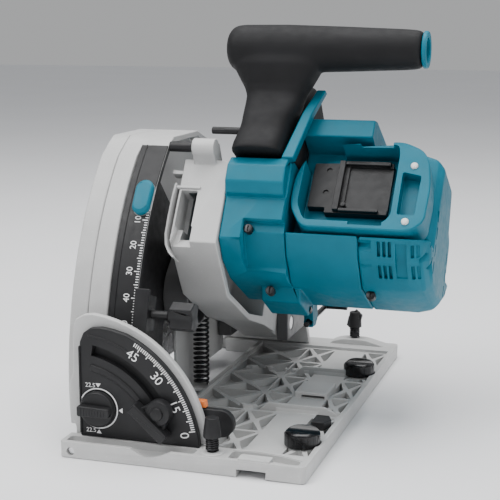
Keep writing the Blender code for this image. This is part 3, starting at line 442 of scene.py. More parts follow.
def turned(profile, axis, centre, steps=48, ring=False):
    """Body spun about an axis from (radius, place along the axis) pairs."""
    bpy.ops.object.select_all(action="DESELECT")
    bpy.ops.mesh.primitive_circle_add(vertices=len(profile), radius=1.0, fill_type="NOTHING")
    piece = bpy.context.object
    for vertex, (radius, along) in zip(piece.data.vertices, profile):
        vertex.co = across(axis, centre[0] + radius, centre[1], along) * MM
    select_only(piece)
    if not ring:
        last = len(profile) - 1
        for edge in piece.data.edges:
            edge.select = set(edge.vertices) == {0, last}
        for vertex in piece.data.vertices:
            vertex.select = vertex.index in (0, last)
        bpy.ops.object.mode_set(mode="EDIT")
        bpy.ops.mesh.select_mode(type="EDGE")
        bpy.ops.mesh.delete(type="EDGE")
        bpy.ops.object.mode_set(mode="OBJECT")
    middle = across(axis, centre[0], centre[1], 0.0) * MM
    direction = across(axis, 0.0, 0.0, 1.0)
    edit_all(
        piece,
        (bpy.ops.mesh.spin, {"steps": steps, "angle": FULL_TURN, "center": middle, "axis": direction}),
        (bpy.ops.mesh.remove_doubles, {"threshold": 1e-6}),
        (bpy.ops.mesh.normals_make_consistent, {"inside": False}),
    )
    return piece


def bar(axis, centre, radius, low, high, steps=32, edge=0.0):
    """Round bar, with its rims rounded when an edge is given."""
    profile = [(0.0, low), (radius, low), (radius, high), (0.0, high)]
    if edge:
        profile = [(0.0, low), (radius - edge, low), (radius - edge * 0.3, low + edge * 0.3),
                   (radius, low + edge), (radius, high - edge), (radius - edge * 0.3, high - edge * 0.3),
                   (radius - edge, high), (0.0, high)]
    return turned(profile, axis, centre, steps)


def lofted(rings):
    """Solid through rings of equally many points, each given in millimetres."""
    count = len(rings[0])
    bpy.ops.object.select_all(action="DESELECT")
    bpy.ops.mesh.primitive_circle_add(vertices=count, radius=1.0, fill_type="NGON")
    piece = bpy.context.object
    select_only(piece)
    bpy.ops.object.mode_set(mode="EDIT")
    bpy.ops.mesh.select_all(action="SELECT")
    for _ in rings[1:]:
        bpy.ops.mesh.extrude_region_move(TRANSFORM_OT_translate={"value": (0.0, 0.0, 1.0)})
    bpy.ops.object.mode_set(mode="OBJECT")
    start = math.atan2(piece.data.vertices[0].co.y, piece.data.vertices[0].co.x)
    step = FULL_TURN / count
    turn = 1.0 if (piece.data.vertices[1].co.xy.angle_signed(piece.data.vertices[0].co.xy)) > 0 else -1.0
    for vertex in piece.data.vertices:
        around = (math.atan2(vertex.co.y, vertex.co.x) - start) * turn
        index = round(around / step) % count
        vertex.co = Vector(rings[round(vertex.co.z)][index]) * MM
    return edit_all(piece, (bpy.ops.mesh.normals_make_consistent, {"inside": False}))


def joined(pieces):
    """Several pieces as one object."""
    bpy.ops.object.select_all(action="DESELECT")
    for piece in pieces:
        piece.select_set(True)
    bpy.context.view_layer.objects.active = pieces[0]
    bpy.ops.object.join()
    return pieces[0]


def cut(piece, *tools):
    """Cut a piece with tools, which are used up."""
    for tool in tools:
        apply_modifier(piece, "BOOLEAN", operation="DIFFERENCE", object=tool, solver="EXACT")
        bpy.data.objects.remove(tool, do_unlink=True)
    return piece


def refined(node):
    """Copy of a frame node with its loose triangles merged and its flat faces made whole."""
    source = frame["nodes"][node]
    piece = bpy.data.objects.new(node, source.data.copy())
    bpy.context.scene.collection.objects.link(piece)
    return edit_all(
        piece,
        (bpy.ops.mesh.remove_doubles, {"threshold": 2e-6}),
        (bpy.ops.mesh.dissolve_limited, {"angle_limit": math.radians(0.6)}),
        (bpy.ops.mesh.normals_make_consistent, {"inside": False}),
    )


def copied(piece, matrix):
    """Copy with its own mesh, moved by a matrix."""
    twin = bpy.data.objects.new(piece.name, piece.data.copy())
    bpy.context.scene.collection.objects.link(twin)
    return moved(twin, matrix)


def shifted(piece, x, y, z):
    """Copy moved by a distance in millimetres."""
    return copied(piece, Matrix.Translation(Vector((x, y, z)) * MM))


def coiled(centre, radius, wire, turns, low, high):
    """Round-wire spring along Z with closed ends."""
    bpy.ops.object.select_all(action="DESELECT")
    bpy.ops.mesh.primitive_circle_add(vertices=12, radius=wire * MM, fill_type="NOTHING",
                                      location=(radius * MM, 0.0, 0.0), rotation=(math.pi / 2, 0.0, 0.0))
    piece = bpy.context.object
    bpy.ops.object.transform_apply(location=True, rotation=True, scale=True)
    pitch = (high - low - 2.0 * wire) / turns
    apply_modifier(piece, "SCREW", axis="Z", angle=FULL_TURN, screw_offset=pitch * MM, iterations=turns,
                   steps=28, render_steps=28)
    edit_all(
        piece,
        (bpy.ops.mesh.remove_doubles, {"threshold": 1e-6}),
        (bpy.ops.mesh.fill_holes, {"sides": 0}),
        (bpy.ops.mesh.normals_make_consistent, {"inside": False}),
    )
    return moved(piece, Matrix.Translation(Vector((centre[0], centre[1], low + wire)) * MM))


def melted(piece, cell, rounds):
    """One skin over joined bodies, with soft hollows where they meet."""
    apply_modifier(piece, "REMESH", mode="VOXEL", voxel_size=cell * MM)
    return apply_modifier(piece, "SMOOTH", factor=0.5, iterations=rounds)


def moved(piece, matrix):
    """Piece whose mesh is moved by a matrix."""
    piece.data.transform(matrix)
    piece.data.update()
    return piece


# Font size that gives figures one unit high
FONT_SIZE = 1.38


def lettering(words, height, right, up, at, thickness):
    """Printed figures: right and up give the way they read, at is their middle, in millimetres."""
    bpy.ops.object.select_all(action="DESELECT")
    bpy.ops.object.text_add()
    piece = bpy.context.object
    piece.data.body = words
    piece.data.size = height * FONT_SIZE * MM
    piece.data.extrude = thickness * 0.5 * MM
    piece.data.align_x = "CENTER"
    piece.data.align_y = "CENTER"
    piece.data.resolution_u = 4
    bpy.ops.object.convert(target="MESH")
    piece = bpy.context.object
    right = Vector(right).normalized()
    up = Vector(up).normalized()
    matrix = Matrix.Identity(4)
    for column, direction in enumerate((right, up, right.cross(up))):
        matrix.col[column] = (*direction, 0.0)
    matrix.col[3] = (*(Vector(at) * MM), 1.0)
    return moved(piece, matrix)


def stroke(start, end, width, face, thickness):
    """Printed line between two points, on a face with the given normal; millimetres."""
    start, end = Vector(start), Vector(end)
    along = (end - start).normalized()
    face = Vector(face).normalized()
    side = along.cross(face).normalized() * width * 0.5
    lift = face * thickness
    rings = [[start - side, start + side, end + side, end - side],
             [start - side + lift, start + side + lift, end + side + lift, end - side + lift]]
    return lofted(rings)


def settle(piece, name, body, slot, look, *stands_for, smooth=True):
    """Name a finished piece and hand it to the frame."""
    piece.name = name
    piece.data.name = name
    dress(piece.data, look)
    if smooth:
        smoothed(piece)
    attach(piece, body)
    if stands_for:
        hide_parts(*stands_for)
    return piece


BODY_OF = {node: body for body, nodes in frame["record"]["behaviour"]["bodies"].items() for node in nodes}
SLOT_OF = {entry["node"]: entry["material_slot"] for entry in frame["record"]["subparts"]}


def stand_in(piece, name, node, look):
    """Put a finished piece in a frame node's place."""
    return settle(piece, name, BODY_OF[node], SLOT_OF[node], look, node)


def polish(node, look, edge=0.5, segments=2):
    """Stand in for a frame node with a rounded, smooth copy."""
    return stand_in(rounded(refined(node), edge, segments), f"{node}_finished", node, look)


def coat(look, *nodes):
    """Keep frame nodes as they are and give them a finish."""
    for node in nodes:
        dress(frame["nodes"][node].data, look)


# ------------------------------------------------------------------ pieces

def pocket_tools():
    """Rounded triangular pockets that leave crossed ribs standing on the sole."""
    pitch, rows, first_row = 43.0, 6, -132.5
    pockets = []
    for left, right in ((-29.0, 12.5), (12.5, 35.5), (60.0, 79.0)):
        corners = [Vector(c) for c in ((left, first_row), (right, first_row), (right, first_row + pitch),
                                       (left, first_row + pitch))]
        middle = (corners[0] + corners[2]) / 2.0
        for n in range(4):
            trio = [corners[n], corners[(n + 1) % 4], middle]
            inner = (trio[0] + trio[1] + trio[2]) / 3.0
            shape = [point + (inner - point).normalized() * 3.0 for point in trio]
            pocket = slab(filleted(shape, 2.0, 3), "Z", 3.0, 14.0)
            pockets += [shifted(pocket, 0.0, pitch * row, 0.0) for row in range(1, rows)] + [pocket]
    return edit_all(joined(pockets), (bpy.ops.mesh.normals_make_consistent, {"inside": False}))


class SAW_OT_base(bpy.types.Operator):
    """Cast base plate with its ribs, walls and rail groove"""
    bl_idname = "plunge_saw.base"
    bl_label = "Base"

    def execute(self, context):
        outline = [(-82.5, -150.4), (-80.9, -152.0)] + arc((79.0, -148.5), 3.5, -90.0, 0.0, 6)
        outline += arc((79.0, 148.5), 3.5, 0.0, 90.0, 6) + [(-80.9, 152.0), (-82.5, 150.4)]
        outline += [(-82.5, 134.3), (-62.0, 134.3), (-62.0, 125.0), (-33.0, 125.0), (-33.0, -125.0),
                    (-62.0, -125.0), (-62.0, -134.3), (-82.5, -134.3)]
        plate = slab(outline, "Z", 0.0, 11.0, 0.5)
        trays = [brick((-29.0, low, 8.5), (79.0, high, 14.0), 0.8)
                 for low, high in ((-132.5, -44.0), (-40.5, 51.5), (55.0, 125.5))]
        cut(plate, joined(trays))
        cut(plate, pocket_tools())
        trough = [(-79.0, -149.2), (9.0, -149.2), (9.0, -140.6), (-79.0, -140.6)]
        front_pocket = [(31.5, -149.2), (77.6, -149.2), (77.6, -142.6), (63.0, -137.0), (45.5, -134.8),
                        (31.5, -136.8)]
        dip = [(-33.0, 12.0), (-33.0, 11.0), (-28.0, 8.0), (-22.0, 6.0), (-14.0, 7.4), (-6.0, 11.0),
               (-6.0, 12.0)]
        cut(plate, *(slab(filleted(hollow, corner), axis, low, high) for hollow, corner, axis, low, high in (
            (trough, 2.0, "Z", 6.6, 14.0), (front_pocket, 2.5, "Z", 6.8, 14.0),
            (dip, 3.0, "Y", -156.0, -148.2))))
        for at in RAIL_KNOBS.values():
            cut(plate, bar("Z", at, 12.6, 8.7, 14.0, 48), bar("Z", at, 5.0, 4.0, 12.0, 24))
        cut(plate, bar("Z", CLAMP_SCREWS["front"], 2.8, 5.9, 20.0, 24),
            brick((38.0, -160.0, -2.0), (57.3, 160.0, 5.2)), brick((-34.0, -64.0, -1.0), (-30.9, -3.0, 12.0)),
            brick((63.0, -146.0, -1.0), (67.0, 146.0, 1.0)))
        for low, high in ((-153.0, -130.0), (130.0, 153.0)):
            cut(plate, bar("Y", BEVEL_CENTRE, 2.8, low, high, 24))

        arch = brick((36.0, -8.0, 5.5), (60.5, 20.0, 13.0), 1.2, 3)
        cut(arch, brick((41.0, -9.0, 7.0), (58.5, 12.0, 10.5), 0.6))
        hump = [(22.0, 5.5), (28.0, 13.0), (38.0, 16.0), (56.0, 16.0), (80.0, 10.0), (80.0, 5.5)]
        rear = slab(filleted(hump, 4.0), "Y", 137.0, 149.5, 1.2, 3)
        cut(rear, bar("Z", CLAMP_SCREWS["rear"], 2.8, 4.0, 20.0, 24))
        boss = turned([(2.9, 6.0), (7.6, 6.0), (7.6, 11.4), (7.0, 12.0), (3.4, 12.0), (2.9, 11.5)], "Z",
                      CLAMP_SCREWS["front"], 48, ring=True)
        lug = [(-14.0, 6.0), (3.0, 6.0), (3.0, 26.0), (-4.0, 30.0), (-14.0, 30.0)]
        cover = [(38.6, -151.6), (59.6, -151.6), (59.6, -142.4), (38.6, -142.4)]
        wall = [(17.0, 5.5), (26.0, 14.0), (68.0, 14.0), (79.5, 8.0), (79.5, 5.5)]
        ledge = [(31.0, -136.4), (45.5, -134.3), (63.0, -136.5), (77.8, -142.2), (77.8, -140.4),
                 (63.5, -134.6), (45.5, -132.3), (31.0, -134.4)]
        seat = [(4.6, 3.2), (10.2, 3.2), (10.2, 8.6), (9.6, 9.1), (4.6, 9.1)]
        seats = [turned(seat, "Z", at, 48, ring=True) for at in RAIL_KNOBS.values()]
        standing = [slab(filleted(outline, corner), axis, low, high, edge)
                    for outline, corner, axis, low, high, edge in (
                        (lug, 4.0, "Y", -122.0, -119.0, 0.6), (cover, 1.5, "Z", 5.6, 12.2, 0.5),
                        (wall, 2.5, "Y", -43.5, -40.9, 0.6), (wall, 2.5, "Y", 52.0, 54.6, 0.6),
                        (ledge, 1.0, "Z", 6.0, 11.6, 0.4))]
        joined([plate, arch, rear, boss] + standing + seats)
        stand_in(plate, "cast_base", "base_plate", "casting")
        polish("glide_strip", "pale", 0.2)
        return {"FINISHED"}


def printed(pieces, name, body):
    """Printed marks, joined as one piece."""
    return settle(joined(pieces), name, body, "pale", "print", smooth=False)


class SAW_OT_quadrants(bpy.types.Operator):
    """Black bevel quadrants with their printed scale, and the positive-stop dial"""
    bl_idname = "plunge_saw.quadrants"
    bl_label = "Quadrants"

    def plate(self, low, high):
        """Quarter plate with its curved slot."""
        rise = math.degrees(math.asin((11.3 - BEVEL_AT.z) / 84.5))
        crown = [(-50.5, 84.2), (-58.0, 85.2), (-65.1, 84.4), (-70.1, 80.8), (-72.7, 75.0), (-73.5, 68.0)]
        outline = [(-73.5, 11.3)] + arc(BEVEL_CENTRE, 84.5, rise, 66.0, 40) + crown
        plate = slab(outline, "Y", low, high, 0.9, 3)
        return cut(plate, slab(arc_band(BEVEL_CENTRE, 69.6, 62.4, 21.0, 80.5, 30), "Y", low - 2.0, high + 2.0))

    def band(self, inner, outer, start, end, low, high, edge):
        """Raised band along an arc about the bevel axis."""
        return slab(arc_band(BEVEL_CENTRE, outer, inner, start, end, 32), "Y", low, high, edge, 3)

    def execute(self, context):
        marking = settings()[1]
        high, width, proud = marking.digit_height / MM, marking.line_width / MM, marking.paint_height / MM
        front = self.plate(FACE_Y, -134.0)
        raised = [
            front,
            self.band(74.8, 76.2, 62.0, 84.0, -139.5, -137.0, 0.4),
            self.band(52.6, 56.8, 38.0, 80.0, -140.3, -137.0, 1.2),
            brick((-73.5, -140.0, 13.5), (-72.2, -137.0, 72.0), 0.5),
        ]
        stand_in(joined(raised), "front_quadrant_plate", "front_quadrant", "black")
        stand_in(self.plate(134.0, 139.0), "rear_quadrant_plate", "rear_quadrant", "black")

        marks = []
        for value in range(0, 49):
            angle = BEVEL_ZERO + value
            inner = 79.2 if value % 5 == 0 else 80.8
            start, end = polar(BEVEL_CENTRE, inner, angle), polar(BEVEL_CENTRE, 83.4, angle)
            marks.append(stroke((start[0], FACE_Y, start[1]), (end[0], FACE_Y, end[1]), width,
                                (0.0, -1.0, 0.0), proud))
        for words, angle, radius in (("45", 58.4, 74.8), ("30", 42.1, 74.8), ("15", 25.8, 74.8),
                                     ("0", 10.8, 75.4)):
            at = polar(BEVEL_CENTRE, radius, angle)
            turn = math.radians(angle)
            marks.append(lettering(words, high, (math.sin(turn), 0.0, -math.cos(turn)),
                                   (math.cos(turn), 0.0, math.sin(turn)), (at[0], FACE_Y, at[1]), proud))
        dial = (DIAL_AT.x, DIAL_AT.z)
        circle = turned([(12.9, FACE_Y + 0.05), (13.7, FACE_Y + 0.05), (13.7, FACE_Y - proud),
                         (12.9, FACE_Y - proud)], "Y", dial, 72, ring=True)
        marks.append(circle)
        for angle in (0.0, 90.0, 270.0):
            arrow = [polar(dial, 14.3, angle), polar(dial, 17.0, angle - 6.0), polar(dial, 17.0, angle + 6.0)]
            marks.append(slab(arrow, "Y", FACE_Y - proud, FACE_Y + 0.05))
        for above in (15.2, -15.2):
            marks.append(lettering("22.5", 3.0, (1.0, 0.0, 0.0), (0.0, 0.0, 1.0),
                                   (dial[0] - 5.6, FACE_Y, dial[1] + above), proud))
        printed(marks, "bevel_scale_print", "base")

        knob = turned([(0.0, -139.3), (12.0, -139.3), (12.0, -142.3), (11.4, -143.2), (10.4, -143.5),
                       (0.0, -143.5)], "Y", dial, 64)
        grip = slab(filleted([(dial[0] - 11.4, dial[1] - 3.6), (dial[0] + 11.4, dial[1] - 3.0),
                              (dial[0] + 11.4, dial[1] + 3.0), (dial[0] - 11.4, dial[1] + 3.6)], 1.6), "Y",
                    -149.0, -142.6, 0.9, 3)
        ribs = [brick((dial[0] + left, -149.3, dial[1] - 2.6), (dial[0] + left + 0.8, -148.4, dial[1] + 2.6),
                      0.2) for left in range(-9, 9, 2)]
        stand_in(joined([knob, grip] + ribs), "stop_dial_knob", "positive_stop_dial", "black")
        for side in ("front", "rear"):
            polish(f"bevel_pin_{side}", "steel", 0.3)
        return {"FINISHED"}


class SAW_OT_base_controls(bpy.types.Operator):
    """Rail knobs, thumb screws, slider and undercut lever on the base"""
    bl_idname = "plunge_saw.base_controls"
    bl_label = "Base controls"

    def rail_knob(self, side, at):
        """Glossy knob with a finger scoop and a knurled rim."""
        body = turned([(0.0, 4.6), (3.9, 4.6), (3.9, 9.3), (11.2, 9.3), (11.8, 9.9), (11.8, 17.2),
                       (11.3, 18.6), (10.0, 19.6), (8.0, 20.0), (0.0, 20.0)], "Z", at, 72)
        notches = [bar("Z", polar(at, 12.7, 20.0 * n), 1.1, 8.0, 22.0, 16) for n in range(18)]
        scoop = bar("X", (at[1], 26.5), 9.5, at[0] - 15.0, at[0] + 15.0, 48)
        cut(body, joined(notches), scoop)
        rounded(body, 0.25)
        stand_in(body, f"rail_knob_{side}_finished", f"rail_knob_{side}", "gloss")

    def execute(self, context):
        for side, at in RAIL_KNOBS.items():
            self.rail_knob(side, at)
            polish(f"clamp_screw_{side}", "black", 0.5)
        for side, foot in (("front", 12.3), ("rear", 16.3)):
            spring = coiled(CLAMP_SCREWS[side], 3.7, 0.62, 5, foot, foot + 8.7)
            stand_in(spring, f"thumb_screw_spring_{side}", f"clamp_spring_{side}", "dark steel")
        polish("rail_slider", "black", 0.6)
        paddle = [(-12.0, 15.5), (19.0, 15.5)] + arc((19.5, 24.7), 9.2, -90.0, 85.0, 20)
        paddle += [(8.0, 33.9), (-2.0, 33.4), (-10.0, 30.4), (-12.0, 28.0)]
        lever = slab(paddle, "Y", -127.6, -122.4, 0.9, 3)
        cut(lever, bar("Y", (-6.0, 22.0), 2.3, -130.0, -120.0, 24))
        stand_in(lever, "undercut_paddle", "undercut_lever", "black")
        polish("undercut_lever_tip", "orange", 0.8, 3)
        return {"FINISHED"}


class SAW_OT_case(bpy.types.Operator):
    """Blade case, its cover and the bevel brackets"""
    bl_idname = "plunge_saw.case"
    bl_label = "Blade case"

    def execute(self, context):
        polish("blade_case", "casting", 0.8, 3)
        polish("case_cover", "casting", 1.2, 4)
        rise = math.degrees(math.asin((11.8 - BEVEL_AT.z) / 88.5))
        plate = arc(BEVEL_CENTRE, 4.3, 200.0, 340.0, 12) + [(-62.5, 11.8)]
        plate += arc(BEVEL_CENTRE, 88.5, rise, 84.0, 44)
        plate += [(-72.0, 91.6), (-77.6, 88.4), (-80.2, 82.0), (-80.6, 52.0), (-83.0, 46.0), (-83.6, 30.0),
                  (-82.4, 22.0), (-79.6, 15.0)]
        bracket = slab(plate, "Y", -133.6, -128.8)
        for at, radius in ((BEVEL_CENTRE, 2.8), (LEVER_STUD, 3.2)):
            cut(bracket, bar("Y", at, radius, -136.0, -120.0, 24))
        rounded(bracket, 1.0, 3)
        stand_in(bracket, "front_bevel_bracket", "front_bracket", "casting")
        # Black band behind the quadrant's slot: painted shade, so the slot reads dark
        wear_and_slot_shade = arc_band(BEVEL_CENTRE, 70.4, 61.6, 30.5, 81.5, 40)
        settle(slab(wear_and_slot_shade, "Y", -133.85, -133.2), "slot_lining", BODY_OF["front_bracket"], "black", "black")
        polish("rear_bracket", "casting", 0.6)
        # The yoke takes the casting darkened as painted shade, since it lies in shadow under the motor
        polish("plunge_yoke", "shaded casting", 1.0, 3)

        # Black sheets along the case rim and inside the case: painted shade where the case interior lies in shadow
        edge = slab(arc_band(PLUNGE_CENTRE, 206.6, 203.4, 187.0, 132.0, 60), "X", -42.1, -41.8)
        inside = arc(PLUNGE_CENTRE, 202.8, 186.0, 136.0, 40) + arc(PLUNGE_CENTRE, 133.4, 136.0, 186.0, 30)
        settle(joined([edge, slab(inside, "X", -51.4, -50.8)]), "case_lining", BODY_OF["blade_case"], "black",
               "black")
        coat("steel", "plunge_shaft")
        spring = coiled(SPRING_AT, 5.3, 0.95, 17, SPRING_FOOT, SPRING_TOP)
        stand_in(spring, "plunge_return_spring", "return_spring", "dark steel")
        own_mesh(spring)
        stub = bar("X", (-40.0, 192.0), 1.6, -90.5, -84.0, 24, 0.4)
        settle(stub, "cover_stub", BODY_OF["case_cover"], "black", "black")
        return {"FINISHED"}


class SAW_OT_depth_scale(bpy.types.Operator):
    """Black depth scale with its printed numbers and lines, and the scoring button"""
    bl_idname = "plunge_saw.depth_scale"
    bl_label = "Depth scale"

    def execute(self, context):
        proud = settings()[1].paint_height / MM
        plate = slab(arc_band(PLUNGE_CENTRE, 207.3, SCALE_RADIUS, 183.0, 132.0, 60), "X", -61.2, -42.0, 0.25)
        rings = []
        for reach in (205.0, 213.0):
            ring = []
            for n in range(32):
                turn = FULL_TURN * n / 32
                along = math.copysign(6.2, math.sin(turn)) + 6.7 * math.sin(turn)
                ring.append((-48.2 + 6.7 * math.cos(turn), *ahead(reach, 35.8 + math.degrees(along / 207.0))))
            rings.append(ring)
        cut(plate, lofted(rings))
        bead = slab(arc_band(PLUNGE_CENTRE, 207.9, SCALE_RADIUS + 0.5, 183.0, 132.0, 60), "X", -57.6, -56.8,
                    0.2)
        stand_in(joined([plate, bead]), "depth_scale_strip", "depth_scale", "black")
        marks = []
        for depth in range(6, 57):
            elevation = TEN_MM_LINE - (depth - 10) * DEGREES_PER_MM
            y, z = ahead(SCALE_RADIUS, elevation)
            left = -46.0 if depth % 10 == 0 else (-45.2 if depth % 5 == 0 else -44.2)
            turn = math.radians(180.0 - elevation)
            face = (0.0, math.cos(turn), math.sin(turn))
            marks.append(stroke((left, y, z), (-42.2, y, z), 0.55, face, proud))
            if depth % 10 == 0:
                marks.append(lettering(str(depth), 4.3, (0.0, math.sin(turn), -math.cos(turn)),
                                       (-1.0, 0.0, 0.0), (-49.2, y, z), proud * 2))
        printed(marks, "depth_scale_print", BODY_OF["depth_scale"])
        polish("scoring_button", "housing", 0.5)
        return {"FINISHED"}


class SAW_OT_levers(bpy.types.Operator):
    """Bevel levers and the depth stop with its wing knob"""
    bl_idname = "plunge_saw.levers"
    bl_label = "Levers and stop"

    def execute(self, context):
        slope = math.radians(-42.0)
        along = Vector((math.cos(slope), math.sin(slope)))
        aside = Vector((along.y, -along.x))
        grip, neck = ([tuple(Vector(LEVER_STUD) + along * a + aside * b) for a, b in corners] for corners in (
            ((-15.0, 5.4), (15.0, 5.4), (15.0, 12.6), (-15.0, 12.6)),
            ((-8.0, 0.0), (8.0, 0.0), (11.0, 8.0), (-11.0, 8.0))))
        for side, name in ((-1.0, "front"), (1.0, "rear")):
            parts = [bar("Y", LEVER_STUD, radius, *sorted((side * inner, side * outer)), steps, edge)
                     for radius, inner, outer, steps, edge in (
                         (2.8, 128.4, 145.0, 32, 0.0), (8.5, 139.6, 148.2, 56, 1.6),
                         (4.4, 146.0, 150.0, 40, 1.6))]
            parts += [slab(filleted(outline, radius), "Y", *sorted((side * inner, side * outer)), edge, 3)
                      for outline, radius, inner, outer, edge in (
                          (grip, 1.4, 141.0, 151.0, 1.2), (neck, 1.5, 140.6, 146.4, 0.9))]
            stand_in(joined(parts), f"bevel_lever_{name}_finished", f"bevel_lever_{name}", "black")
        polish("depth_stop_block", "black", 0.6)
        polish("depth_stop_knob", "black", 0.8, 3)
        return {"FINISHED"}


class SAW_OT_gear_housing(bpy.types.Operator):
    """Cast gear housing, its cover and the stop rod"""
    bl_idname = "plunge_saw.gear_housing"
    bl_label = "Gear housing"

    def execute(self, context):
        housing = moved(refined("gear_housing"), LIFT.inverted())
        rounded(housing, 0.8, 3)
        cut(housing, brick((-29.4, -116.0, 50.0), (-17.4, -90.0, 76.4), 1.0),
            slab([(-116.0, 50.5), (-99.5, 50.5), (-106.0, 33.0), (-116.0, 33.0)], "X", -29.4, -16.6, 0.4))
        centre_line = [(-34.0, 80.6), (-35.0, 70.0), (-35.3, 56.0), (-35.2, 44.0), (-33.6, 36.0),
                       (-30.4, 30.6), (-26.8, 27.4)]
        inner = [(x + 1.5, z + 0.3) for x, z in reversed(centre_line)]
        lip = slab(centre_line + inner, "Y", -109.3, -98.0, 0.5)
        shelf = slab(filleted([(-38.6, 88.6), (-17.0, 88.6), (-17.0, 90.4), (-38.6, 91.6)], 0.5), "Y",
                     -105.6, -97.0, 0.5)
        frame_top = brick((-34.4, -108.2, 77.6), (-15.6, -102.0, 79.4), 0.5)
        body = moved(joined([housing, lip, shelf, frame_top]), LIFT)
        stand_in(body, "cast_gear_housing", "gear_housing", "casting")
        # The gear cover takes the casting darkened as painted shade
        polish("gear_cover", "shaded casting", 0.8, 3)
        polish("stop_rod", "black", 0.4)
        coat("steel", "spindle_bearing")
        return {"FINISHED"}


def surface_slot(start, end, low, high, depth):
    """Tool that cuts a slot along a line of the section, from low to high across."""
    start, end = Vector(start), Vector(end)
    along = (end - start).normalized()
    inward = Vector((along.y, -along.x))
    if inward.x < 0:
        inward = -inward
    shape = [start - inward * 4.0, end - inward * 4.0, end + inward * depth, start + inward * depth]
    return slab([tuple(point) for point in shape], "X", low, high, 0.5)


class SAW_OT_motor_housing(bpy.types.Operator):
    """Moulded motor housing and its vented end cap"""
    bl_idname = "plunge_saw.motor_housing"
    bl_label = "Motor housing"

    def execute(self, context):
        housing = moved(refined("motor_housing"), LIFT.inverted())
        rounded(housing, 1.2, 3)
        step = [(-116.0, 60.0), (-99.6, 58.5), (-99.6, 51.5), (-88.2, 40.0), (-80.0, 33.5), (-80.0, 20.0),
                (-116.0, 20.0)]
        cut(housing, slab(step, "X", 17.0, 45.2, 0.7))
        stand_in(moved(housing, LIFT), "motor_housing_moulding", "motor_housing", "housing")

        cap = moved(refined("motor_end_cap"), LIFT.inverted())
        rounded(cap, 2.0, 4)
        vents = []
        for n in range(3):
            for left, start in ((107.0, (-97.4, 50.4)), (129.0, (-96.0, 49.0))):
                for ends in ((start, (-90.2, 42.3)), ((-85.0, 38.3), (-75.0, 32.4))):
                    vents.append(surface_slot(*ends, left + 3.6 * n, left + 2.2 + 3.6 * n, 3.0))
        vents.append(surface_slot((-96.6, 49.6), (-76.0, 33.0), 119.0, 126.4, 0.9))
        for row in range(4):
            for column in range(3):
                near, z = -88.0 + 9.0 * column, 40.0 + 12.0 * row
                for y in (near, 2.0 * MIRROR_Y - near - 2.6):
                    vents.append(brick((134.0, y, z), (146.0, y + 2.6, z + 8.6), 0.5))
        cut(cap, joined(vents))
        for at in ((-97.0, 46.0), (-86.0, 33.5)):
            cut(cap, bar("X", at, 5.0, 92.0, 103.0, 40))
        stand_in(moved(cap, LIFT), "end_cap_moulding", "motor_end_cap", "housing")
        polish("speed_dial", "black", 0.5)

        screws = []
        for x, y, z in ((20.6, -100.6, 53.0), (31.0, -64.0, 22.0), (100.0, -60.0, 24.5), (48.0, -24.0, 22.0)):
            head = bar("Y", (x, z), 3.2, y - 2.2, y + 3.0, 40, 0.5)
            socket = brick((x - 0.5, y - 3.0, z - 2.0), (x + 0.5, y - 1.2, z + 2.0))
            cut(head, socket)
            screws.append(head)
        settle(moved(joined(screws), LIFT), "housing_screws", BODY_OF["motor_housing"], "dark_steel",
               "dark steel")
        return {"FINISHED"}


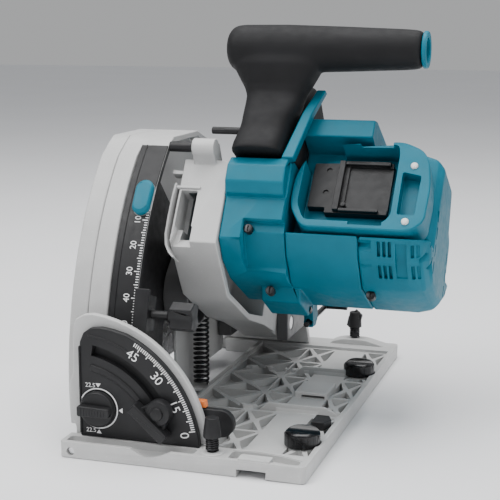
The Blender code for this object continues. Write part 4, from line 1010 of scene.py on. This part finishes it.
class SAW_OT_battery_bays(bpy.types.Operator):
    """Battery bays with their terminal blocks and bumpers"""
    bl_idname = "plunge_saw.battery_bays"
    bl_label = "Battery bays"

    def shell(self):
        """Bay frame with its pocket, latch recess and key-ways, in the bay's own plane."""
        ring = [(56.0, -29.5), (46.0, -14.0), (45.3, 6.0), (49.0, 20.0), (59.0, 35.0), (116.0, 40.0),
                (130.0, 33.5), (135.0, 25.0), (138.0, 5.0), (137.0, -22.0), (128.0, -29.5)]
        pocket = [(57.0, -24.0), (51.0, -12.0), (51.0, 30.0), (57.0, 36.0), (113.0, 37.0), (114.5, 30.0),
                  (114.5, -18.0), (110.0, -24.0)]
        shell = slab(filleted(ring, 6.0), "Z", -22.0, 0.0, 1.2, 3)
        latch = [(118.5, -17.0), (118.5, 15.5), (131.0, 13.0), (130.0, -17.5)]
        cut(shell, slab(filleted(pocket, 4.0), "Z", -20.3, 4.0, 0.8),
            slab(filleted(latch, 1.6), "Z", -8.5, 4.0, 0.8),
            brick((87.0, 36.0, -4.0), (109.0, 41.6, 4.0), 0.5),
            brick((87.4, -26.4, -4.0), (109.6, -22.0, 4.0), 0.5))
        return rounded(shell, 0.35, 2, 50.0)

    def contacts(self):
        """Terminal block with its rails."""
        block = [(54.0, -6.0), (66.0, -6.0), (66.0, -10.0), (108.8, -10.0), (108.8, 31.0), (54.0, 29.0)]
        body = slab(filleted(block, 0.8, 3), "Z", -20.0, -14.0, 0.4)
        cut(body, brick((79.0, -6.6, -15.6), (112.0, 27.0, -12.0), 0.3),
            *(bar("Z", at, 2.0, -15.0, -12.0, 32) for at in ((64.9, 23.6), (65.1, 6.0))))
        rails = [brick(low, high, edge) for low, high, edge in (
            ((72.0, -9.0, -16.0), (76.0, 30.0, -10.5), 0.5), ((76.0, 27.6, -15.0), (107.0, 30.4, -11.4), 0.4),
            ((76.0, -9.4, -15.0), (103.0, -7.2, -11.4), 0.4))]
        return joined([body] + rails + [bar("Z", (78.4, -3.6), 1.8, -15.6, -12.4, 32, 0.4)])

    def bumpers(self):
        """Two round buffers beside the latch recess."""
        profile = [(0.0, -3.0), (2.5, -3.0), (2.5, 0.5), (2.2, 1.1), (1.5, 1.5), (0.0, 1.6)]
        return joined([turned(profile, "Z", at, 40) for at in ((125.4, 20.5), (124.8, -22.5))])

    def execute(self, context):
        for side, place in (("front", LIFT @ BAY_PLACE), ("rear", LIFT @ FLIP @ BAY_PLACE)):
            body = BODY_OF[f"battery_bay_{side}"]
            for build, name, slot, material, stands_for in (
                (self.shell, "bay_shell", "teal", "housing", (f"battery_bay_{side}",)),
                (self.contacts, "bay_contacts", "black", "black", (f"terminal_block_{side}",)),
                (self.bumpers, "bay_bumpers", "pale", "pale", ()),
            ):
                piece = moved(build(), place)
                edit_all(piece, (bpy.ops.mesh.normals_make_consistent, {"inside": False}))
                settle(piece, f"{name}_{side}", body, slot, material, *stands_for)
        return {"FINISHED"}


class SAW_OT_handles(bpy.types.Operator):
    """Front grip, rear handle and what is pressed on them"""
    bl_idname = "plunge_saw.handles"
    bl_label = "Handles"

    def stem(self):
        """Flared stem under the front grip."""
        table = [
            (104.4, (3.0, 38.0, -121.0, -90.0)), (128.0, (5.0, 39.0, -114.0, -86.0)),
            (150.0, (4.0, 44.0, -108.5, -84.5)), (174.0, (-7.0, 56.0, -119.0, -92.0)),
            (186.0, (-4.0, 50.0, -114.0, -98.0)),
        ]
        foot, top, levels = table[0][0], table[-1][0], 15
        rings = []
        for level in range(levels):
            z = foot + (top - foot) * level / (levels - 1)
            x0, x1, y0, y1 = between(table, z)
            ring = []
            for n in range(40):
                turn = FULL_TURN * n / 40
                c, s = math.cos(turn), math.sin(turn)
                ring.append((
                    (x0 + x1) / 2 + (x1 - x0) / 2 * math.copysign(abs(c) ** 0.6, c),
                    (y0 + y1) / 2 + (y1 - y0) / 2 * math.copysign(abs(s) ** 0.6, s), z))
            rings.append(ring)
        return lofted(rings)

    def execute(self, context):
        grip = turned([(0.0, -12.5), (6.0, -12.3), (11.0, -11.2), (14.0, -9.0), (15.8, -6.0), (16.5, 0.0),
                       (16.6, 30.0), (15.4, 70.0), (13.8, 112.0), (13.2, 120.0), (12.4, 123.4), (10.6, 124.6),
                       (0.0, 124.6)], "X", GRIP_AT, 64)
        handle = joined([self.stem(), grip])
        melted(handle, 1.1, 10)
        cut(handle, bar("X", GRIP_AT, 8.6, 106.0, 130.0, 40), bar("X", LOCK_PIN_AT, 2.9, -2.0, 18.0, 24))
        stand_in(moved(handle, LIFT), "front_grip", "front_handle", "grip")
        ring = turned([(8.6, 124.9), (11.8, 124.9), (12.6, 125.6), (12.6, 127.2), (12.0, 128.0), (9.2, 128.0),
                       (8.6, 127.4)], "X", GRIP_AT, 64, ring=True)
        stand_in(moved(ring, LIFT), "grip_ring", "grip_end_ring", "housing")

        outline = [
            (-86.0, 104.4), (-81.0, 150.0), (-80.5, 162.0), (-71.0, 175.0), (-54.0, 175.0), (52.0, 122.0),
            (61.0, 108.0), (54.0, 80.0), (44.0, 64.0), (10.4, 64.0), (10.4, 78.0), (33.0, 82.0),
            (37.0, 97.0), (29.0, 110.0), (-54.0, 152.0), (-64.0, 147.0), (-66.0, 104.4),
        ]
        rear = slab(filleted(outline, 9.0, 6), "X", 20.0, 44.6)
        rounded(rear, 5.0, 5)
        into, run, start = Vector((0.457, 0.89)), Vector((0.89, -0.457)), Vector((-40.0, 145.0))
        patch = [tuple(start + run * a + into * b) for a, b in ((-0.5, -12.0), (27.5, -12.0), (27.5, 12.5),
                                                                (-0.5, 12.5))]
        cut(rear, slab(patch, "X", 26.5, 38.1), bar("X", (-58.0, 163.0), 4.3, 10.0, 27.0, 32))
        stand_in(moved(rear, LIFT), "rear_grip", "rear_handle", "grip")
        polish("trigger", "black", 1.4, 3)
        polish("lock_off_button", "black", 0.5)
        pin = bar("X", LOCK_PIN_AT, 2.5, -14.0, 8.0, 40, 0.4)
        flats = [bar("X", polar(LOCK_PIN_AT, 3.05, 30.0 * n), 0.75, -15.0, -5.0, 10) for n in range(12)]
        cut(pin, joined(flats))
        stand_in(moved(pin, LIFT), "knurled_lock_pin", "spindle_lock_pin", "black")
        coat("dark steel", "hex_key")
        return {"FINISHED"}


class SAW_OT_drive(bpy.types.Operator):
    """Blade, flanges, gears and motor"""
    bl_idname = "plunge_saw.drive"
    bl_label = "Blade and drive"

    def execute(self, context):
        polish("saw_blade", ground_steel("ground blade", (0.62, 0.62, 0.63), SPINDLE_AT), 0.15, 1)
        coat("steel", "spindle", "driven_gear", "inner_flange", "outer_flange", "blade_bolt", "rotor",
             "pinion", "motor_bearing")
        coat("black", "cooling_fan")
        coat("dark steel", "stator")
        coat("board", "control_board")
        return {"FINISHED"}


class SAW_OT_dust_nozzle(bpy.types.Operator):
    """Swivelling dust outlet"""
    bl_idname = "plunge_saw.dust_nozzle"
    bl_label = "Dust outlet"

    def execute(self, context):
        polish("dust_nozzle", "black", 0.6)
        return {"FINISHED"}


# ------------------------------------------------------------------ stage

# Lamps: name, place in metres, size in metres and share of the main lamp's power
LAMPS = (("key", (-0.8, -0.9, 1.5), 0.9, 1.0), ("fill", (1.3, -1.0, 1.1), 0.9, 0.4),
         ("top", (0.0, 0.1, 1.5), 1.2, 1.35))
LAMP_TARGET = (0.0, 0.0, 0.12)
ROOM_LIGHT, BACKDROP_LIGHT = 0.46, 0.44
CAMERA_AT = (0.26271, -0.83480, 0.28037)
CAMERA_TARGET = (-0.0007, 0.0, 0.1142)


def lamp(name, at, towards, size, power):
    """Soft square lamp that faces a point."""
    data = bpy.data.lights.new(name, "AREA")
    data.energy = power
    data.size = size
    lit = bpy.data.objects.new(name, data)
    bpy.context.scene.collection.objects.link(lit)
    lit.location = at
    lit.rotation_euler = (Vector(towards) - Vector(at)).to_track_quat("-Z", "Y").to_euler()


class SAW_OT_stage(bpy.types.Operator):
    """Plain pale floor, soft lamps and the camera"""
    bl_idname = "plunge_saw.stage"
    bl_label = "Stage"

    def execute(self, context):
        studio = settings()[2]
        bpy.ops.object.select_all(action="DESELECT")
        bpy.ops.mesh.primitive_plane_add(size=12.0, location=(0.0, 0.0, -0.0002))
        floor = context.object
        floor.name = "studio_floor"
        dress(floor.data, finish("studio floor", studio.floor, rough=(0.6, 0.7), grain=200.0, bump=0.02,
                                 mottle=0.01, mottle_scale=3.0))

        for name, at, size, share in LAMPS:
            lamp(name, at, LAMP_TARGET, size, studio.key_power * share)
        world = bpy.data.worlds.new("soft studio")
        world.use_nodes = True
        tree = world.node_tree
        ambient = tree.nodes["Background"]
        backdrop = tree.nodes.new("ShaderNodeBackground")
        for light, tint, strength in ((ambient, (0.95, 0.97, 1.0, 1.0), ROOM_LIGHT),
                                      (backdrop, (0.98, 0.99, 1.0, 1.0), BACKDROP_LIGHT)):
            light.inputs["Color"].default_value = tint
            light.inputs["Strength"].default_value = strength
        path = tree.nodes.new("ShaderNodeLightPath")
        chosen = tree.nodes.new("ShaderNodeMixShader")
        wire(tree, (path, "Is Camera Ray", chosen, 0), (ambient, 0, chosen, 1), (backdrop, 0, chosen, 2),
             (chosen, 0, tree.nodes["World Output"], "Surface"))
        context.scene.world = world

        data = bpy.data.cameras.new("camera")
        data.lens = studio.lens
        data.sensor_width = 36.0
        data.clip_start = 0.01
        camera = bpy.data.objects.new("camera", data)
        context.scene.collection.objects.link(camera)
        camera.location = CAMERA_AT
        camera.rotation_euler = (Vector(CAMERA_TARGET) - camera.location).to_track_quat("-Z", "Y").to_euler()
        context.scene.camera = camera
        return {"FINISHED"}


# ------------------------------------------------------------------ add-on

OPERATORS = (
    SAW_OT_base, SAW_OT_quadrants, SAW_OT_base_controls, SAW_OT_case, SAW_OT_depth_scale, SAW_OT_levers,
    SAW_OT_gear_housing, SAW_OT_motor_housing, SAW_OT_battery_bays, SAW_OT_handles, SAW_OT_drive,
    SAW_OT_dust_nozzle, SAW_OT_stage,
)


class SAW_PT_panel(bpy.types.Panel):
    """Lists the pieces in the order they are built"""
    bl_idname = "SAW_PT_panel"
    bl_label = "Plunge Saw"
    bl_space_type = "VIEW_3D"
    bl_region_type = "UI"
    bl_category = "Plunge Saw"

    def draw(self, context):
        for group in settings():
            box = self.layout.box()
            for name in group.__annotations__:
                box.prop(group, name)
        for operator in OPERATORS:
            self.layout.operator(operator.bl_idname)


SETTINGS = (("saw_finish", FinishSettings), ("saw_marking", MarkingSettings), ("saw_studio", StudioSettings))


def register():
    for name, group in SETTINGS:
        bpy.utils.register_class(group)
        setattr(bpy.types.Scene, name, PointerProperty(type=group))
    for operator in OPERATORS:
        bpy.utils.register_class(operator)
    bpy.utils.register_class(SAW_PT_panel)


def unregister():
    bpy.utils.unregister_class(SAW_PT_panel)
    for operator in reversed(OPERATORS):
        bpy.utils.unregister_class(operator)
    for name, group in reversed(SETTINGS):
        delattr(bpy.types.Scene, name)
        bpy.utils.unregister_class(group)


def main():
    """Build every piece."""
    register()
    for operator in OPERATORS:
        family, call = operator.bl_idname.split(".")
        getattr(getattr(bpy.ops, family), call)()


if __name__ == "__main__":
    main()
